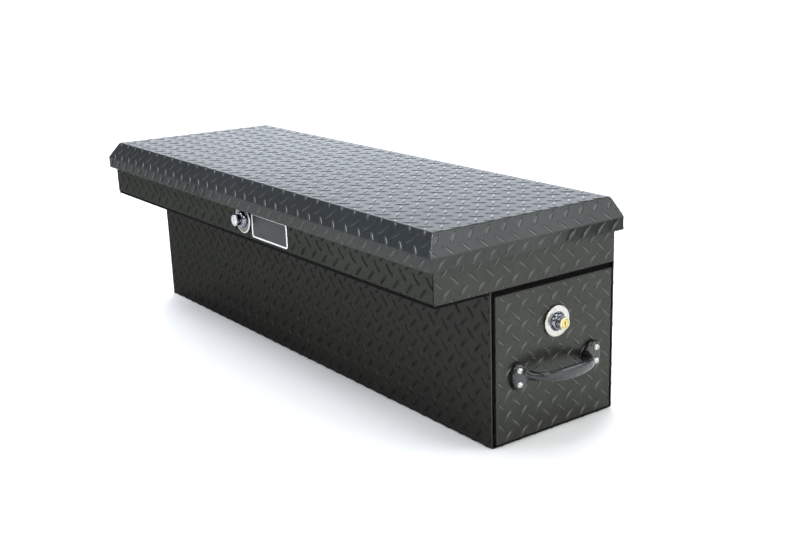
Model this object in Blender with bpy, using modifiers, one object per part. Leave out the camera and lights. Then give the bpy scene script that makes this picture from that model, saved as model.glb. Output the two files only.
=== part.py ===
"""Side-mount truck tool box in tread-plate sheet.

A shallow upper tub overhangs a narrower lower body at the front, so that the
overhang rests on the truck's bed rail.  The lid hinges at the back and a long
drawer runs the length of the lower body and opens at the +X end.

Frame: X along the box (+X is the drawer end), -Y is the front (the overhang and
the lid lock), +Z is up.  The origin is the middle of the lower body's underside.
"""
import math

import bmesh
import bpy
from mathutils import Matrix, Vector

MM = 0.001

# ------------------------------------------------------------------ dimensions
T = 2.0                     # sheet thickness
GAP = 0.3                   # clearance between touching pieces

LID_X = 597.0               # half length of the lid
LID_YF, LID_YB = -257.5, 148.5
LID_TOP = 375.0
LID_DROP = 33.5             # height of the chamfer
LID_LIP = 22.5              # height of the vertical lip
LID_RUN_F, LID_RUN_E, LID_RUN_B = 21.5, 21.5, 13.0

BODY_X = 586.0              # half length of the tub and of the lower body
TUB_YF, TUB_YB = -245.0, 136.5
SHELF_Z = 264.5             # underside of the tub
RIM_Z = 345.0               # top of the tub's rim
RIM_W = 10.0                # width of the rim's inward return
LOW_Y = 136.5               # half depth of the lower body

HINGE_Y, HINGE_Z = 142.5, 313.0
HINGE_X = 560.0             # half length of the hinge
KNUCKLES = 16
LID_OPEN = 75.0             # degrees

STRUT_X = 565.0             # plane of the gas struts
STRUT_TUB = (112.0, 278.0)  # ball stud on the tub (Y, Z)
STRUT_LID = (-60.0, 338.0)  # ball stud on the lid (Y, Z)

LOCK_X, LOCK_Z = 7.0, 300.0         # lid lock, on the tub's front
DLOCK_Z = 190.0                     # drawer lock, on the drawer's middle
PLATE_R = 27.0                      # lock plate radius
BEZEL_R = 15.8                      # domed collar round the button
BARREL_R, BARREL_BORE = 12.4, 10.9
BUTTON_R = 10.6
CORE_R = 7.6
KNOB_OUT = 21.4                     # key face in front of the sheet
PRESS = 6.0                         # travel of a lock button

FACE_X = 590.0              # front of the drawer's face
FACE_Y = 128.3              # half width of the face
FACE_Z0, FACE_Z1 = 5.6, 255.9
FACE_DEEP = 11.0            # depth of the face's returned edges
TRAY_Y = 117.0
TRAY_Z0, TRAY_Z1 = 12.0, 212.0
TRAY_X0, TRAY_X1 = -560.0, 587.6
TRAY_WALL_X = 533.0         # tray's own front wall
SLIDE_Z = 70.0
SLIDE_X0, SLIDE_X1 = -345.0, 555.0

HANDLE_Z, HANDLE_C = 115.8, -2.3    # middle of the handle
HANDLE_Y = 85.5                     # screw columns either side of the middle
SCREW_DZ = 11.9

# ------------------------------------------------------------------- the scene
for old in list(bpy.data.objects):
    bpy.data.objects.remove(old, do_unlink=True)

PARTS = bpy.data.collections.new("truck_tool_box")
CUTTERS = bpy.data.collections.new("cutters")
bpy.context.scene.collection.children.link(PARTS)
bpy.context.scene.collection.children.link(CUTTERS)


# ------------------------------------------------------------------- materials
def material(name, color, rough, metal):
    m = bpy.data.materials.new(name)
    m.use_nodes = True
    b = m.node_tree.nodes["Principled BSDF"]
    b.inputs["Base Color"].default_value = (*color, 1.0)
    b.inputs["Roughness"].default_value = rough
    b.inputs["Metallic"].default_value = metal
    return m


# ------------------------------------------------------------------- modelling
def put(name, mesh, mat, origin=(0, 0, 0), cutter=False):
    """Wrap a mesh given in millimetres as an object whose origin is at 'origin'."""
    mesh.transform(Matrix.Translation(-Vector(origin)))
    mesh.transform(Matrix.Scale(MM, 4))
    ob = bpy.data.objects.new(name, mesh)
    ob.location = Vector(origin) * MM
    if cutter:
        CUTTERS.objects.link(ob)
        ob.hide_render = True
        ob.display_type = "WIRE"
    else:
        PARTS.objects.link(ob)
        own = mat.copy()
        own.name = name
        mesh.materials.clear()
        mesh.materials.append(own)
    return ob


def finish(bm, name):
    me = bpy.data.meshes.new(name)
    bmesh.ops.recalc_face_normals(bm, faces=bm.faces)
    bm.to_mesh(me)
    bm.free()
    return me


def add_box(bm, lo, hi):
    size = [b - a for a, b in zip(lo, hi)]
    mid = [(a + b) / 2 for a, b in zip(lo, hi)]
    m = Matrix.Translation(mid) @ Matrix.Diagonal((*size, 1.0))
    return bmesh.ops.create_cube(bm, size=1.0, matrix=m)["verts"]


def raw_mesh(verts, faces):
    bm = bmesh.new()
    vs = [bm.verts.new(v) for v in verts]
    for f in faces:
        bm.faces.new([vs[i] for i in f])
    return finish(bm, "raw")


def box_mesh(lo, hi):
    bm = bmesh.new()
    add_box(bm, lo, hi)
    return finish(bm, "box")


def boxes_mesh(pairs):
    bm = bmesh.new()
    for lo, hi in pairs:
        add_box(bm, lo, hi)
    return finish(bm, "boxes")


def along(direction):
    """Rotation that takes +Z to the given direction."""
    return Vector((0, 0, 1)).rotation_difference(Vector(direction).normalized()).to_matrix().to_4x4()


def add_rod(bm, p0, p1, r, seg=20, r2=None):
    p0, p1 = Vector(p0), Vector(p1)
    m = Matrix.Translation((p0 + p1) / 2) @ along(p1 - p0)
    bmesh.ops.create_cone(bm, cap_ends=True, segments=seg, radius1=r,
                          radius2=r if r2 is None else r2,
                          depth=(p1 - p0).length, matrix=m)


def rod_mesh(p0, p1, r, seg=20, r2=None):
    bm = bmesh.new()
    add_rod(bm, p0, p1, r, seg, r2)
    return finish(bm, "rod")


def smooth(ob, angle=35.0):
    me = ob.data
    me.shade_smooth()
    me.set_sharp_from_angle(angle=math.radians(angle))


def turned(name, profile, base, direction, mat, steps=24, origin=None):
    """Turn a closed (r, t) loop, or an open one that ends on the axis, about an
    axis through 'base'.  The profile runs down its outer side."""
    me = bpy.data.meshes.new(name)
    closed = min(r for r, _ in profile) > 1e-6
    n = len(profile)
    edges = [(i, i + 1) for i in range(n - 1)] + ([(n - 1, 0)] if closed else [])
    me.from_pydata([(r * MM, 0.0, t * MM) for r, t in profile], edges, [])
    ob = bpy.data.objects.new(name, me)
    PARTS.objects.link(ob)
    s = ob.modifiers.new("turn", "SCREW")
    s.steps = s.render_steps = steps
    s.use_merge_vertices = True
    s.merge_threshold = 0.00005
    s.use_smooth_shade = True
    dg = bpy.context.evaluated_depsgraph_get()
    out = bpy.data.meshes.new_from_object(ob.evaluated_get(dg))
    bpy.data.objects.remove(ob, do_unlink=True)
    bpy.data.meshes.remove(me)
    out.name = name
    out.transform(Matrix.Scale(1 / MM, 4))
    out.transform(Matrix.Translation(base) @ along(direction))
    res = put(name, out, mat, origin or base)
    smooth(res)
    return res


PLANES = {
    # outline x, outline y and the extrusion as world axes
    "YZ": Matrix(((0, 0, 1, 0), (1, 0, 0, 0), (0, 1, 0, 0), (0, 0, 0, 1))),
    "XZ": Matrix(((1, 0, 0, 0), (0, 0, -1, 0), (0, 1, 0, 0), (0, 0, 0, 1))),
    "XY": Matrix.Identity(4),
}


def outline_mesh(points, plane, t0, t1, holes=()):
    """A flat outline, filled and extruded from t0 to t1 along the third axis."""
    cu = bpy.data.curves.new("outline", "CURVE")
    cu.dimensions = "2D"
    cu.fill_mode = "BOTH"
    cu.extrude = abs(t1 - t0) / 2
    for loop in (points, *holes):
        sp = cu.splines.new("POLY")
        sp.points.add(len(loop) - 1)
        for p, (x, y) in zip(sp.points, loop):
            p.co = (x, y, 0, 1)
        sp.use_cyclic_u = True
    ob = bpy.data.objects.new("outline", cu)
    CUTTERS.objects.link(ob)
    dg = bpy.context.evaluated_depsgraph_get()
    me = bpy.data.meshes.new_from_object(ob.evaluated_get(dg))
    bpy.data.objects.remove(ob, do_unlink=True)
    bpy.data.curves.remove(cu)
    bm = bmesh.new()
    bm.from_mesh(me)
    bpy.data.meshes.remove(me)
    bmesh.ops.remove_doubles(bm, verts=bm.verts, dist=0.001)
    mid = (t0 + t1) / 2
    sign = -1 if plane == "XZ" else 1
    bmesh.ops.transform(bm, matrix=PLANES[plane] @ Matrix.Translation((0, 0, mid * sign)), verts=bm.verts)
    return finish(bm, "outline")


def arc(cx, cy, r, a0, a1, n):
    return [(cx + r * math.cos(math.radians(a0 + (a1 - a0) * i / n)),
             cy + r * math.sin(math.radians(a0 + (a1 - a0) * i / n))) for i in range(n + 1)]


def rounded(points, radii, n=3):
    """Round the corners of an outline; radii holds one radius per corner."""
    out = []
    k = len(points)
    for i, (p, r) in enumerate(zip(points, radii)):
        p = Vector(p)
        if r <= 0:
            out.append(tuple(p))
            continue
        a = (Vector(points[i - 1]) - p).normalized()
        b = (Vector(points[(i + 1) % k]) - p).normalized()
        half = a.angle(b) / 2
        back = r / math.tan(half)
        c = p + (a + b).normalized() * (r / math.sin(half))
        s, e = p + a * back - c, p + b * back - c
        turn = s.angle_signed(e)
        for j in range(n + 1):
            q = s.copy()
            q.rotate(Matrix.Rotation(-turn * j / n, 2))
            out.append(tuple(c + q))
    return out


def boolean(ob, other, op="DIFFERENCE"):
    m = ob.modifiers.new(other.name, "BOOLEAN")
    m.operation = op
    m.solver = "EXACT"
    m.object = other
    return ob


COUNT = [0]


def tool(mesh):
    COUNT[0] += 1
    return put("cutter_%02d" % COUNT[0], mesh, None, cutter=True)


# material kinds
COAT = material("tread_plate_black_coat", (0.030, 0.031, 0.033), 0.42, 0.0)
RUBBER = material("black_rubber", (0.012, 0.012, 0.012), 0.75, 0.0)
ZINC = material("zinc_plated_steel", (0.56, 0.57, 0.58), 0.35, 1.0)
STAINLESS = material("stainless_plate", (0.66, 0.66, 0.63), 0.28, 1.0)
CHROME = material("chrome_button", (0.75, 0.76, 0.78), 0.10, 1.0)
BRASS = material("brass_key_core", (0.78, 0.60, 0.25), 0.28, 1.0)
PLASTIC = material("black_handle_enamel", (0.020, 0.022, 0.026), 0.28, 0.0)
ALU = material("mill_aluminium", (0.62, 0.62, 0.62), 0.38, 1.0)
STRUTBLACK = material("black_strut_paint", (0.02, 0.02, 0.022), 0.35, 0.0)
PLAQUE = material("name_plate_metal", (0.30, 0.30, 0.31), 0.35, 1.0)


# ------------------------------------------------------------------ lower body
def lower_body():
    # front, floor and back are one folded sheet
    y, z0, z1 = LOW_Y, 0.0, SHELF_Z - GAP
    outer = [(-y, z1), (-y, z0), (y, z0), (y, z1)]
    inner = [(y - T, z1), (y - T, z0 + T), (-y + T, z0 + T), (-y + T, z1)]
    pts = rounded(outer, (0, 3, 3, 0)) + rounded(inner, (0, 1.2, 1.2, 0))
    put("lower_wrap", outline_mesh(pts, "YZ", -BODY_X + T + GAP, BODY_X), COAT)
    # the closed end is a flanged panel
    put("lower_end_panel", box_mesh((-BODY_X, -y, z0), (-BODY_X + T, y, z1)), COAT)
    # hoop that stiffens the open end and carries the seal
    hoop = [(-y + T + GAP, z0 + T + GAP), (y - T - GAP, z0 + T + GAP), (y - T - GAP, z1), (-y + T + GAP, z1)]
    hole = [(-126.2, 8.4), (126.2, 8.4), (126.2, 257.5), (-126.2, 257.5)]
    put("opening_frame", outline_mesh(rounded(hoop, (2, 2, 0, 0)), "YZ", 560, 570, [hole]), ALU)
    s0 = [(-y + T + GAP, z0 + T + GAP), (y - T - GAP, z0 + T + GAP), (y - T - GAP, 263.2), (-y + T + GAP, 263.2)]
    h0 = [(-126.0, 8.2), (126.0, 8.2), (126.0, 253.4), (-126.0, 253.4)]
    put("drawer_seal", outline_mesh(rounded(s0, (2, 2, 2, 2)), "YZ", 570.3, FACE_X - FACE_DEEP - GAP,
                                    [rounded(h0, (3, 3, 3, 3))]), RUBBER)


# ------------------------------------------------------------------------- tub
def upper_tub():
    f, b, z0, z1 = TUB_YF, TUB_YB, SHELF_Z, RIM_Z
    outer = [(f, z1), (f, z0), (b, z0), (b, z1)]
    rim_b = [(b - RIM_W, z1), (b - RIM_W, z1 - T), (b - T, z1 - T)]
    inner = [(b - T, z0 + T), (f + T, z0 + T)]
    rim_f = [(f + T, z1 - T), (f + RIM_W, z1 - T), (f + RIM_W, z1)]
    pts = rounded(outer + rim_b + inner + rim_f,
                  (2.5, 2.5, 2.5, 2.5, 0, 0, 1, 1, 1, 1, 0, 0))
    wrap = put("tub_wrap", outline_mesh(pts, "YZ", -BODY_X + T + GAP, BODY_X - T - GAP), COAT)
    boolean(wrap, tool(rod_mesh((LOCK_X, f - 5, LOCK_Z), (LOCK_X, f + 8, LOCK_Z), BARREL_R + GAP, 32)))
    boolean(wrap, tool(box_mesh((LOCK_X - 20, f + T + 0.01, z1 - T - 1), (LOCK_X + 20, f + RIM_W + 2, z1 + 1))))
    for name, s in (("tub_end_left", -1), ("tub_end_right", 1)):
        x0, x1 = s * (BODY_X - T), s * BODY_X
        pts = [(x0, z0), (x1, z0), (x1, z1), (s * (BODY_X - RIM_W), z1), (s * (BODY_X - RIM_W), z1 - T), (x0, z1 - T)]
        if s < 0:
            pts = pts[::-1]
        me = outline_mesh(pts, "XZ", f, b)
        end = put(name, me, COAT)
        # the return stops short of the front and back returns
        for ya, yb in ((f - 1, f + RIM_W + GAP), (b - RIM_W - GAP, b + 1)):
            xa, xb = sorted((s * (BODY_X - T), s * (BODY_X - RIM_W - 1)))
            boolean(end, tool(box_mesh((xa, ya, z1 - T - 1), (xb, yb, z1 + 1))))
    # bulb seal on the rim
    sx = BODY_X - 2.6
    out = [(-sx, f + 1), (sx, f + 1), (sx, b - 1), (-sx, b - 1)]
    w = 9.0
    hole = [(-sx + w, f + 1 + w), (sx - w, f + 1 + w), (sx - w, b - 1 - w), (-sx + w, b - 1 - w)]
    put("lid_seal", outline_mesh(rounded(out, (6,) * 4), "XY", RIM_Z + GAP, RIM_Z + 11.5, [hole]), RUBBER)
    # foam strip under the overhang, where the box meets the bed rail
    g0, g1 = SHELF_Z - GAP - 4.2, SHELF_Z - GAP
    u = [(-BODY_X + 1, -LOW_Y - GAP), (-BODY_X + 1, f + 1), (BODY_X - 1, f + 1), (BODY_X - 1, -LOW_Y - GAP),
         (BODY_X - 21, -LOW_Y - GAP), (BODY_X - 21, f + 21), (-BODY_X + 21, f + 21), (-BODY_X + 21, -LOW_Y - GAP)]
    put("rail_gasket", outline_mesh(u, "XY", g0, g1), RUBBER)
    # plain plate on the front, with rounded corners and no marking
    p = [(38, 271), (165, 271), (165, 317), (38, 317)]
    put("nameplate", outline_mesh(rounded(p, (5,) * 4), "XZ", f - GAP - 1.6, f - GAP), PLAQUE)


# ------------------------------------------------------------------------- lid
def lid():
    hinge = (0, HINGE_Y, HINGE_Z)
    z0 = LID_TOP - LID_DROP - LID_LIP
    z1 = LID_TOP - LID_DROP
    bm = bmesh.new()
    add_box(bm, (-LID_X, LID_YF, z0), (LID_X, LID_YB, z1))
    flat = [fc for fc in bm.faces if abs(fc.normal.z) > 0.9]
    bmesh.ops.delete(bm, geom=flat, context="FACES_ONLY")
    rim = [e for e in bm.edges if all(abs(v.co.z - z1) < 1e-3 for v in e.verts)]
    got = bmesh.ops.extrude_edge_only(bm, edges=rim)["geom"]
    for v in (g for g in got if isinstance(g, bmesh.types.BMVert)):
        v.co.z = LID_TOP
        v.co.x -= math.copysign(LID_RUN_E, v.co.x)
        v.co.y += LID_RUN_F if v.co.y < 0 else -LID_RUN_B
    top = [e for e in bm.edges if all(abs(v.co.z - LID_TOP) < 1e-3 for v in e.verts)]
    bmesh.ops.contextual_create(bm, geom=top)
    bmesh.ops.recalc_face_normals(bm, faces=bm.faces)
    skin = put("lid_skin", finish(bm, "lid_skin"), COAT, hinge)
    s = skin.modifiers.new("sheet", "SOLIDIFY")
    s.thickness = T * MM
    s.offset = -1.0
    s.use_even_offset = True

    x, yf, yb = 577.5, -238.3, 135.6
    liner = put("lid_liner", box_mesh((-x, yf, 357), (x, yb, 366)), ALU, hinge)
    boolean(liner, tool(box_mesh((-x + 1.5, yf + 1.5, 358.5), (x - 1.5, yb - 1.5, 370))))

    # striker loop that the latch hook catches
    ys, zs = -200.0, 341.0
    bm = bmesh.new()
    add_box(bm, (LOCK_X - 16, ys - 12, 355.2), (LOCK_X + 16, ys + 12, 357 - GAP))
    for sx in (-1, 1):
        add_box(bm, (LOCK_X + sx * 10 - 1.5, ys - 4, zs - 5), (LOCK_X + sx * 10 + 1.5, ys + 4, 355.6))
    me = finish(bm, "striker")
    striker = put("lid_striker", me, ZINC, hinge)
    boolean_self(striker, [rod_mesh((LOCK_X - 10.6, ys, zs), (LOCK_X + 10.6, ys, zs), 2.5, 16)])

    for name, s in (("strut_bracket_lid_left", -1), ("strut_bracket_lid_right", 1)):
        yl, zl = STRUT_LID
        xs = STRUT_X - 8.5
        pts = [(yl - 9, 356.0), *arc(yl, zl, 9, 180, 360, 8), (yl + 9, 356.0)]
        xa, xb = sorted((s * (xs - 2), s * xs))
        br = put(name, outline_mesh(pts, "YZ", xa, xb), ZINC, hinge)
        fx = sorted((s * (xs - 14), s * (xs - 0.6)))
        boolean(br, tool(box_mesh((fx[0], yl - 22, 354.9), (fx[1], yl + 22, 357 - GAP))), "UNION")
        boolean(br, tool(rod_mesh((s * (xs - 1), yl, zl), (s * (STRUT_X - 4.6), yl, zl), 4.0, 16)), "UNION")


def boolean_self(ob, meshes):
    """Join the separate blocks of a piece, and further meshes, into one body."""
    src = ob.data
    bm = bmesh.new()
    bm.from_mesh(src)
    bm.verts.ensure_lookup_table()
    seen, groups = set(), []
    for v in bm.verts:
        if v.index in seen:
            continue
        stack, group = [v], []
        seen.add(v.index)
        while stack:
            a = stack.pop()
            group.append(a.index)
            for e in a.link_edges:
                o = e.other_vert(a)
                if o.index not in seen:
                    seen.add(o.index)
                    stack.append(o)
        groups.append(set(group))
    bm.free()
    origin = ob.location / MM
    for i, g in enumerate(groups):
        part = bmesh.new()
        part.from_mesh(src)
        part.verts.ensure_lookup_table()
        bmesh.ops.delete(part, geom=[v for v in part.verts if v.index not in g], context="VERTS")
        if i == 0:
            first = part
            continue
        me = bpy.data.meshes.new("block")
        part.to_mesh(me)
        part.free()
        me.transform(Matrix.Scale(1 / MM, 4))
        me.transform(Matrix.Translation(origin))
        boolean(ob, tool(me), "UNION")
    first.to_mesh(src)
    first.free()
    for me in meshes:
        boolean(ob, tool(me), "UNION")


# ----------------------------------------------------------------------- hinge
def hinge():
    y, z = HINGE_Y, HINGE_Z
    r, bore = 5.4, 3.9
    pitch = 2 * HINGE_X / KNUCKLES

    def leaf(name, first, lo, hi, bridge_lo, bridge_hi):
        segs = [(-HINGE_X + i * pitch + 0.3, -HINGE_X + (i + 1) * pitch - 0.3) for i in range(first, KNUCKLES, 2)]
        ob = put(name, box_mesh((-HINGE_X, *lo), (HINGE_X, *hi)), COAT, (0, y, z))
        boolean(ob, tool(boxes_mesh([((a, *bridge_lo), (b, *bridge_hi)) for a, b in segs])), "UNION")
        bm = bmesh.new()
        for a, b in segs:
            add_rod(bm, (a, y, z), (b, y, z), r, 14)
        boolean(ob, tool(finish(bm, "knuckles")), "UNION")
        boolean(ob, tool(rod_mesh((-HINGE_X - 5, y, z), (HINGE_X + 5, y, z), bore, 12)))
        return ob

    leaf("hinge_leaf_tub", 0, (137.1, 285.0), (138.4, 308.4), (137.15, 308.0), (138.35, 313.5))
    leaf("hinge_leaf_lid", 1, (144.7, 318.8), (146.1, 338.0), (144.75, 316.3), (146.05, 319.2))
    put("hinge_pin", rod_mesh((-HINGE_X - 3, y, z), (HINGE_X + 3, y, z), 3.5, 12), ZINC)


# ---------------------------------------------------------------------- struts
def struts():
    (yt, zt), (yl, zl) = STRUT_TUB, STRUT_LID
    d = Vector((0, yl - yt, zl - zt))
    length = d.length
    d.normalize()
    for side, s in (("left", -1), ("right", 1)):
        x = s * STRUT_X
        t, l = Vector((x, yt, zt)), Vector((x, yl, zl))
        # bracket and stud on the tub's end wall
        xw = s * (BODY_X - T - GAP)
        xa, xb = sorted((xw, xw - s * 2))
        pts = rounded([(yt - 12, 270), (yt + 12, 270), (yt + 12, 300), (yt - 12, 300)], (3,) * 4)
        br = put("strut_bracket_tub_" + side, outline_mesh(pts, "YZ", xa, xb), ZINC)
        boolean(br, tool(rod_mesh((xw - s * 1, yt, zt), (x - s * 4.4, yt, zt), 4.0, 16)), "UNION")
        # cylinder: eye, neck and tube with an open far end
        cyl = put("strut_cylinder_" + side,
                  rod_mesh(t + d * 11, t + d * (length - 26), 7.5, 20), STRUTBLACK, t)
        boolean(cyl, tool(rod_mesh((x - 5, yt, zt), (x + 5, yt, zt), 7.9, 20)), "UNION")
        boolean(cyl, tool(rod_mesh(t + d * 5.5, t + d * 13, 4.5, 12)), "UNION")
        boolean(cyl, tool(rod_mesh((x - 8, yt, zt), (x + 8, yt, zt), 4.4, 16)))
        boolean(cyl, tool(rod_mesh(t + d * 24, t + d * length, 4.6, 14)))
        smooth(cyl)
        # rod with its end fitting
        rodo = put("strut_rod_" + side, rod_mesh(t + d * 30, l - d * 4, 4.0, 14), CHROME, l)
        boolean(rodo, tool(rod_mesh((x - 4.2, yl, zl), (x + 4.2, yl, zl), 7.0, 20)), "UNION")
        smooth(rodo)


# --------------------------------------------------------------------- lid lock
def lid_lock():
    # the lock's axis runs from the inside (+Y) out to the front (-Y)
    base = (LOCK_X, TUB_YF, LOCK_Z)
    out = (0, -1, 0)
    turned("lid_lock_escutcheon",
           [(PLATE_R - 1.0, 4.0), (PLATE_R, 3.2), (PLATE_R, 2.2), (BEZEL_R + GAP, 2.2), (BEZEL_R + GAP, 4.0)],
           base, out, STAINLESS, 40)
    turned("lid_lock_barrel",
           [(BARREL_BORE + 0.8, 10.4), (12.9, 9.6), (14.2, 7.9), (15.2, 5.6), (BEZEL_R, 3.0), (BEZEL_R, 1.9), (22.0, 1.9), (22.0, GAP), (BARREL_R, GAP),
            (BARREL_R, -17.0), (BARREL_BORE, -17.0), (BARREL_BORE, 10.4)],
           base, out, ZINC, 32)
    hole = arc(LOCK_X, LOCK_Z, BARREL_R + 0.4, 0, 360, 28)[:-1]
    put("lid_lock_nut", outline_mesh(arc(LOCK_X, LOCK_Z, 18.0, 0, 360, 6)[:-1], "XZ",
                                     TUB_YF + T + GAP, TUB_YF + T + GAP + 5.0, [hole]), ZINC)
    turned("lid_lock_button",
           [(0.0, KNOB_OUT - 16.0), (CORE_R + GAP, KNOB_OUT - 16.0), (CORE_R + GAP, KNOB_OUT), (BUTTON_R - 1.2, KNOB_OUT),
            (BUTTON_R, KNOB_OUT - 1.4), (BUTTON_R, -14.0), (4.0, -14.0), (4.0, -31.0), (0.0, -31.0)],
           base, out, CHROME, 32)
    core = turned("lid_lock_key_core",
                  [(0.0, KNOB_OUT + 0.3), (CORE_R - 0.5, KNOB_OUT + 0.3), (CORE_R, KNOB_OUT - 0.2), (CORE_R, KNOB_OUT - 15.7), (0.0, KNOB_OUT - 15.7)],
                  base, out, BRASS, 24)
    boolean(core, tool(box_mesh((LOCK_X - 0.7, TUB_YF - KNOB_OUT - 2, LOCK_Z - 4.2),
                                (LOCK_X + 0.7, TUB_YF - KNOB_OUT + 6, LOCK_Z + 4.2))))

    # bracket on the inside of the front wall: a base plate and two cheeks
    yw = TUB_YF + T + GAP
    py, pz = -206.0, 322.0
    u = [(-16, yw), (16, yw), (16, -197), (14, -197), (14, yw + 2), (-14, yw + 2), (-14, -197), (-16, -197)]
    br = put("latch_bracket", outline_mesh([(LOCK_X + a, b) for a, b in u], "XY", 318.5, 340.0), ZINC)
    boolean(br, tool(rod_mesh((LOCK_X - 30, py, pz), (LOCK_X + 30, py, pz), 3.3, 16)))
    put("latch_pivot_pin", rod_mesh((LOCK_X - 18, py, pz), (LOCK_X + 18, py, pz), 2.9, 16), ZINC)
    # hook: tail behind the button, arm past the pivot, beak over the striker
    hook = [(-210.6, 293), (-204, 293), (-200.5, 318), (-200.5, 326), (-206.5, 333), (-207.5, 343.6), (-195.5, 344.4),
            (-196.5, 348.0), (-203, 351.5), (-214.0, 351.5), (-215.5, 346), (-213.5, 320), (-212.0, 310)]
    hk = put("latch_hook", outline_mesh(hook, "YZ", LOCK_X - 4, LOCK_X + 4), ZINC, (LOCK_X, py, pz))
    boolean(hk, tool(rod_mesh((LOCK_X - 9, py, pz), (LOCK_X + 9, py, pz), 3.2, 16)))


# ---------------------------------------------------------------------- drawer
def drawer():
    c = (0, 0, 0)
    back = FACE_X - FACE_DEEP
    face = put("drawer_front", box_mesh((back, -FACE_Y, FACE_Z0), (FACE_X, FACE_Y, FACE_Z1)), COAT)
    bev = face.modifiers.new("bends", "BEVEL")
    bev.width = 2.5 * MM
    bev.segments = 3
    bev.limit_method = "WEIGHT"
    weights = face.data.attributes.new("bevel_weight_edge", "FLOAT", "EDGE")
    for e in face.data.edges:
        x = [face.data.vertices[i].co.x for i in e.vertices]
        weights.data[e.index].value = 1.0 if min(x) > (FACE_X - 1) * MM else 0.0
    boolean(face, tool(box_mesh((back - 5, -FACE_Y + T, FACE_Z0 + T), (FACE_X - T, FACE_Y - T, FACE_Z1 - T))))
    boolean(face, tool(rod_mesh((FACE_X - 8, 0, DLOCK_Z), (FACE_X + 8, 0, DLOCK_Z), BARREL_R + GAP, 32)))
    bm = bmesh.new()
    for sy in (-1, 1):
        for sz in (-1, 1):
            add_rod(bm, (FACE_X - 9, HANDLE_C + sy * HANDLE_Y, HANDLE_Z + sz * SCREW_DZ), (FACE_X + 9, HANDLE_C + sy * HANDLE_Y, HANDLE_Z + sz * SCREW_DZ), 2.8, 12)
    boolean(face, tool(finish(bm, "holes")))

    tray = put("drawer_tray", box_mesh((TRAY_X0, -TRAY_Y, TRAY_Z0), (TRAY_X1, TRAY_Y, TRAY_Z1)), ALU)
    boolean(tray, tool(box_mesh((TRAY_X0 + 1.5, -TRAY_Y + 1.5, TRAY_Z0 + 1.5), (TRAY_WALL_X - 1.5, TRAY_Y - 1.5, TRAY_Z1 + 5))))
    boolean(tray, tool(box_mesh((TRAY_WALL_X, -TRAY_Y + 1.5, TRAY_Z0 + 1.5), (TRAY_X1 + 5, TRAY_Y - 1.5, TRAY_Z1 + 5))))

    # handle: two tapered oval feet and a flat oval bar that widens to its middle
    def foot(sy):
        ring = []
        for i in range(28):
            t = 2 * math.pi * i / 28
            ring.append(((13.0 if math.cos(t) > 0 else 24.0) * math.cos(t) * sy, 23.5 * math.sin(t)))
        verts, n = [], len(ring)
        for x, k in ((GAP, 1.0), (5.0, 0.975), (8.3, 0.90), (10.0 + GAP, 0.77)):
            verts += [(FACE_X + x, HANDLE_C + sy * HANDLE_Y + k * y, HANDLE_Z + k * z) for y, z in ring]
        faces = [tuple(range(n)), tuple(range(4 * n - 1, 3 * n - 1, -1))]
        for r in (0, n, 2 * n):
            faces += [(r + i, r + n + i, r + n + (i + 1) % n, r + (i + 1) % n) for i in range(n)]
        return raw_mesh(verts, faces)

    bar = [(596.0, -67.0, 6.5, 10.5), (601.0, -65.4, 6.0, 9.0), (607.5, -63.2, 5.7, 7.8), (614.5, -60.3, 5.5, 7.4), (621.0, -56.0, 5.5, 7.8),
           (626.0, -49.0, 5.6, 8.7), (629.8, -39.0, 5.7, 9.9), (632.6, -26.0, 5.8, 10.8), (634.2, -13.0, 5.8, 11.3), (634.7, 0.0, 5.8, 11.5)]
    bar = bar + [(x, -y, a, b) for x, y, a, b in bar[-2::-1]]
    verts, faces, n = [], [], 20
    for i, (x, y, a, b) in enumerate(bar):
        p, q = bar[max(i - 1, 0)], bar[min(i + 1, len(bar) - 1)]
        t = Vector((q[0] - p[0], q[1] - p[1])).normalized()
        for j in range(n):
            u = 2 * math.pi * j / n
            verts.append((x + t.y * a * math.cos(u), HANDLE_C + y - t.x * a * math.cos(u), HANDLE_Z + b * math.sin(u)))
    for i in range(len(bar) - 1):
        faces += [(n * i + j, n * i + (j + 1) % n, n * i + n + (j + 1) % n, n * i + n + j) for j in range(n)]
    faces += [tuple(range(n)), tuple(range(len(verts) - 1, len(verts) - n - 1, -1))]
    handle = put("drawer_handle", foot(-1), PLASTIC)
    boolean(handle, tool(raw_mesh(verts, faces)), "UNION")
    boolean(handle, tool(foot(1)), "UNION")
    bm = bmesh.new()
    for sy in (-1, 1):
        for sz in (-1, 1):
            add_rod(bm, (FACE_X - 9, HANDLE_C + sy * HANDLE_Y, HANDLE_Z + sz * SCREW_DZ), (FACE_X + 30, HANDLE_C + sy * HANDLE_Y, HANDLE_Z + sz * SCREW_DZ), 2.8, 12)
    boolean(handle, tool(finish(bm, "holes")))
    smooth(handle)
    k = 0
    for sy in (-1, 1):
        for sz in (1, -1):
            k += 1
            turned("handle_screw_%d" % k,
                   [(0.0, 4.2), (3.2, 3.7), (5.2, 2.2), (6.0, GAP), (2.4, GAP), (2.4, -14.0), (0.0, -14.0)],
                   (FACE_X + 10 + GAP, HANDLE_C + sy * HANDLE_Y, HANDLE_Z + sz * SCREW_DZ), (1, 0, 0), ZINC, 16)

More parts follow.
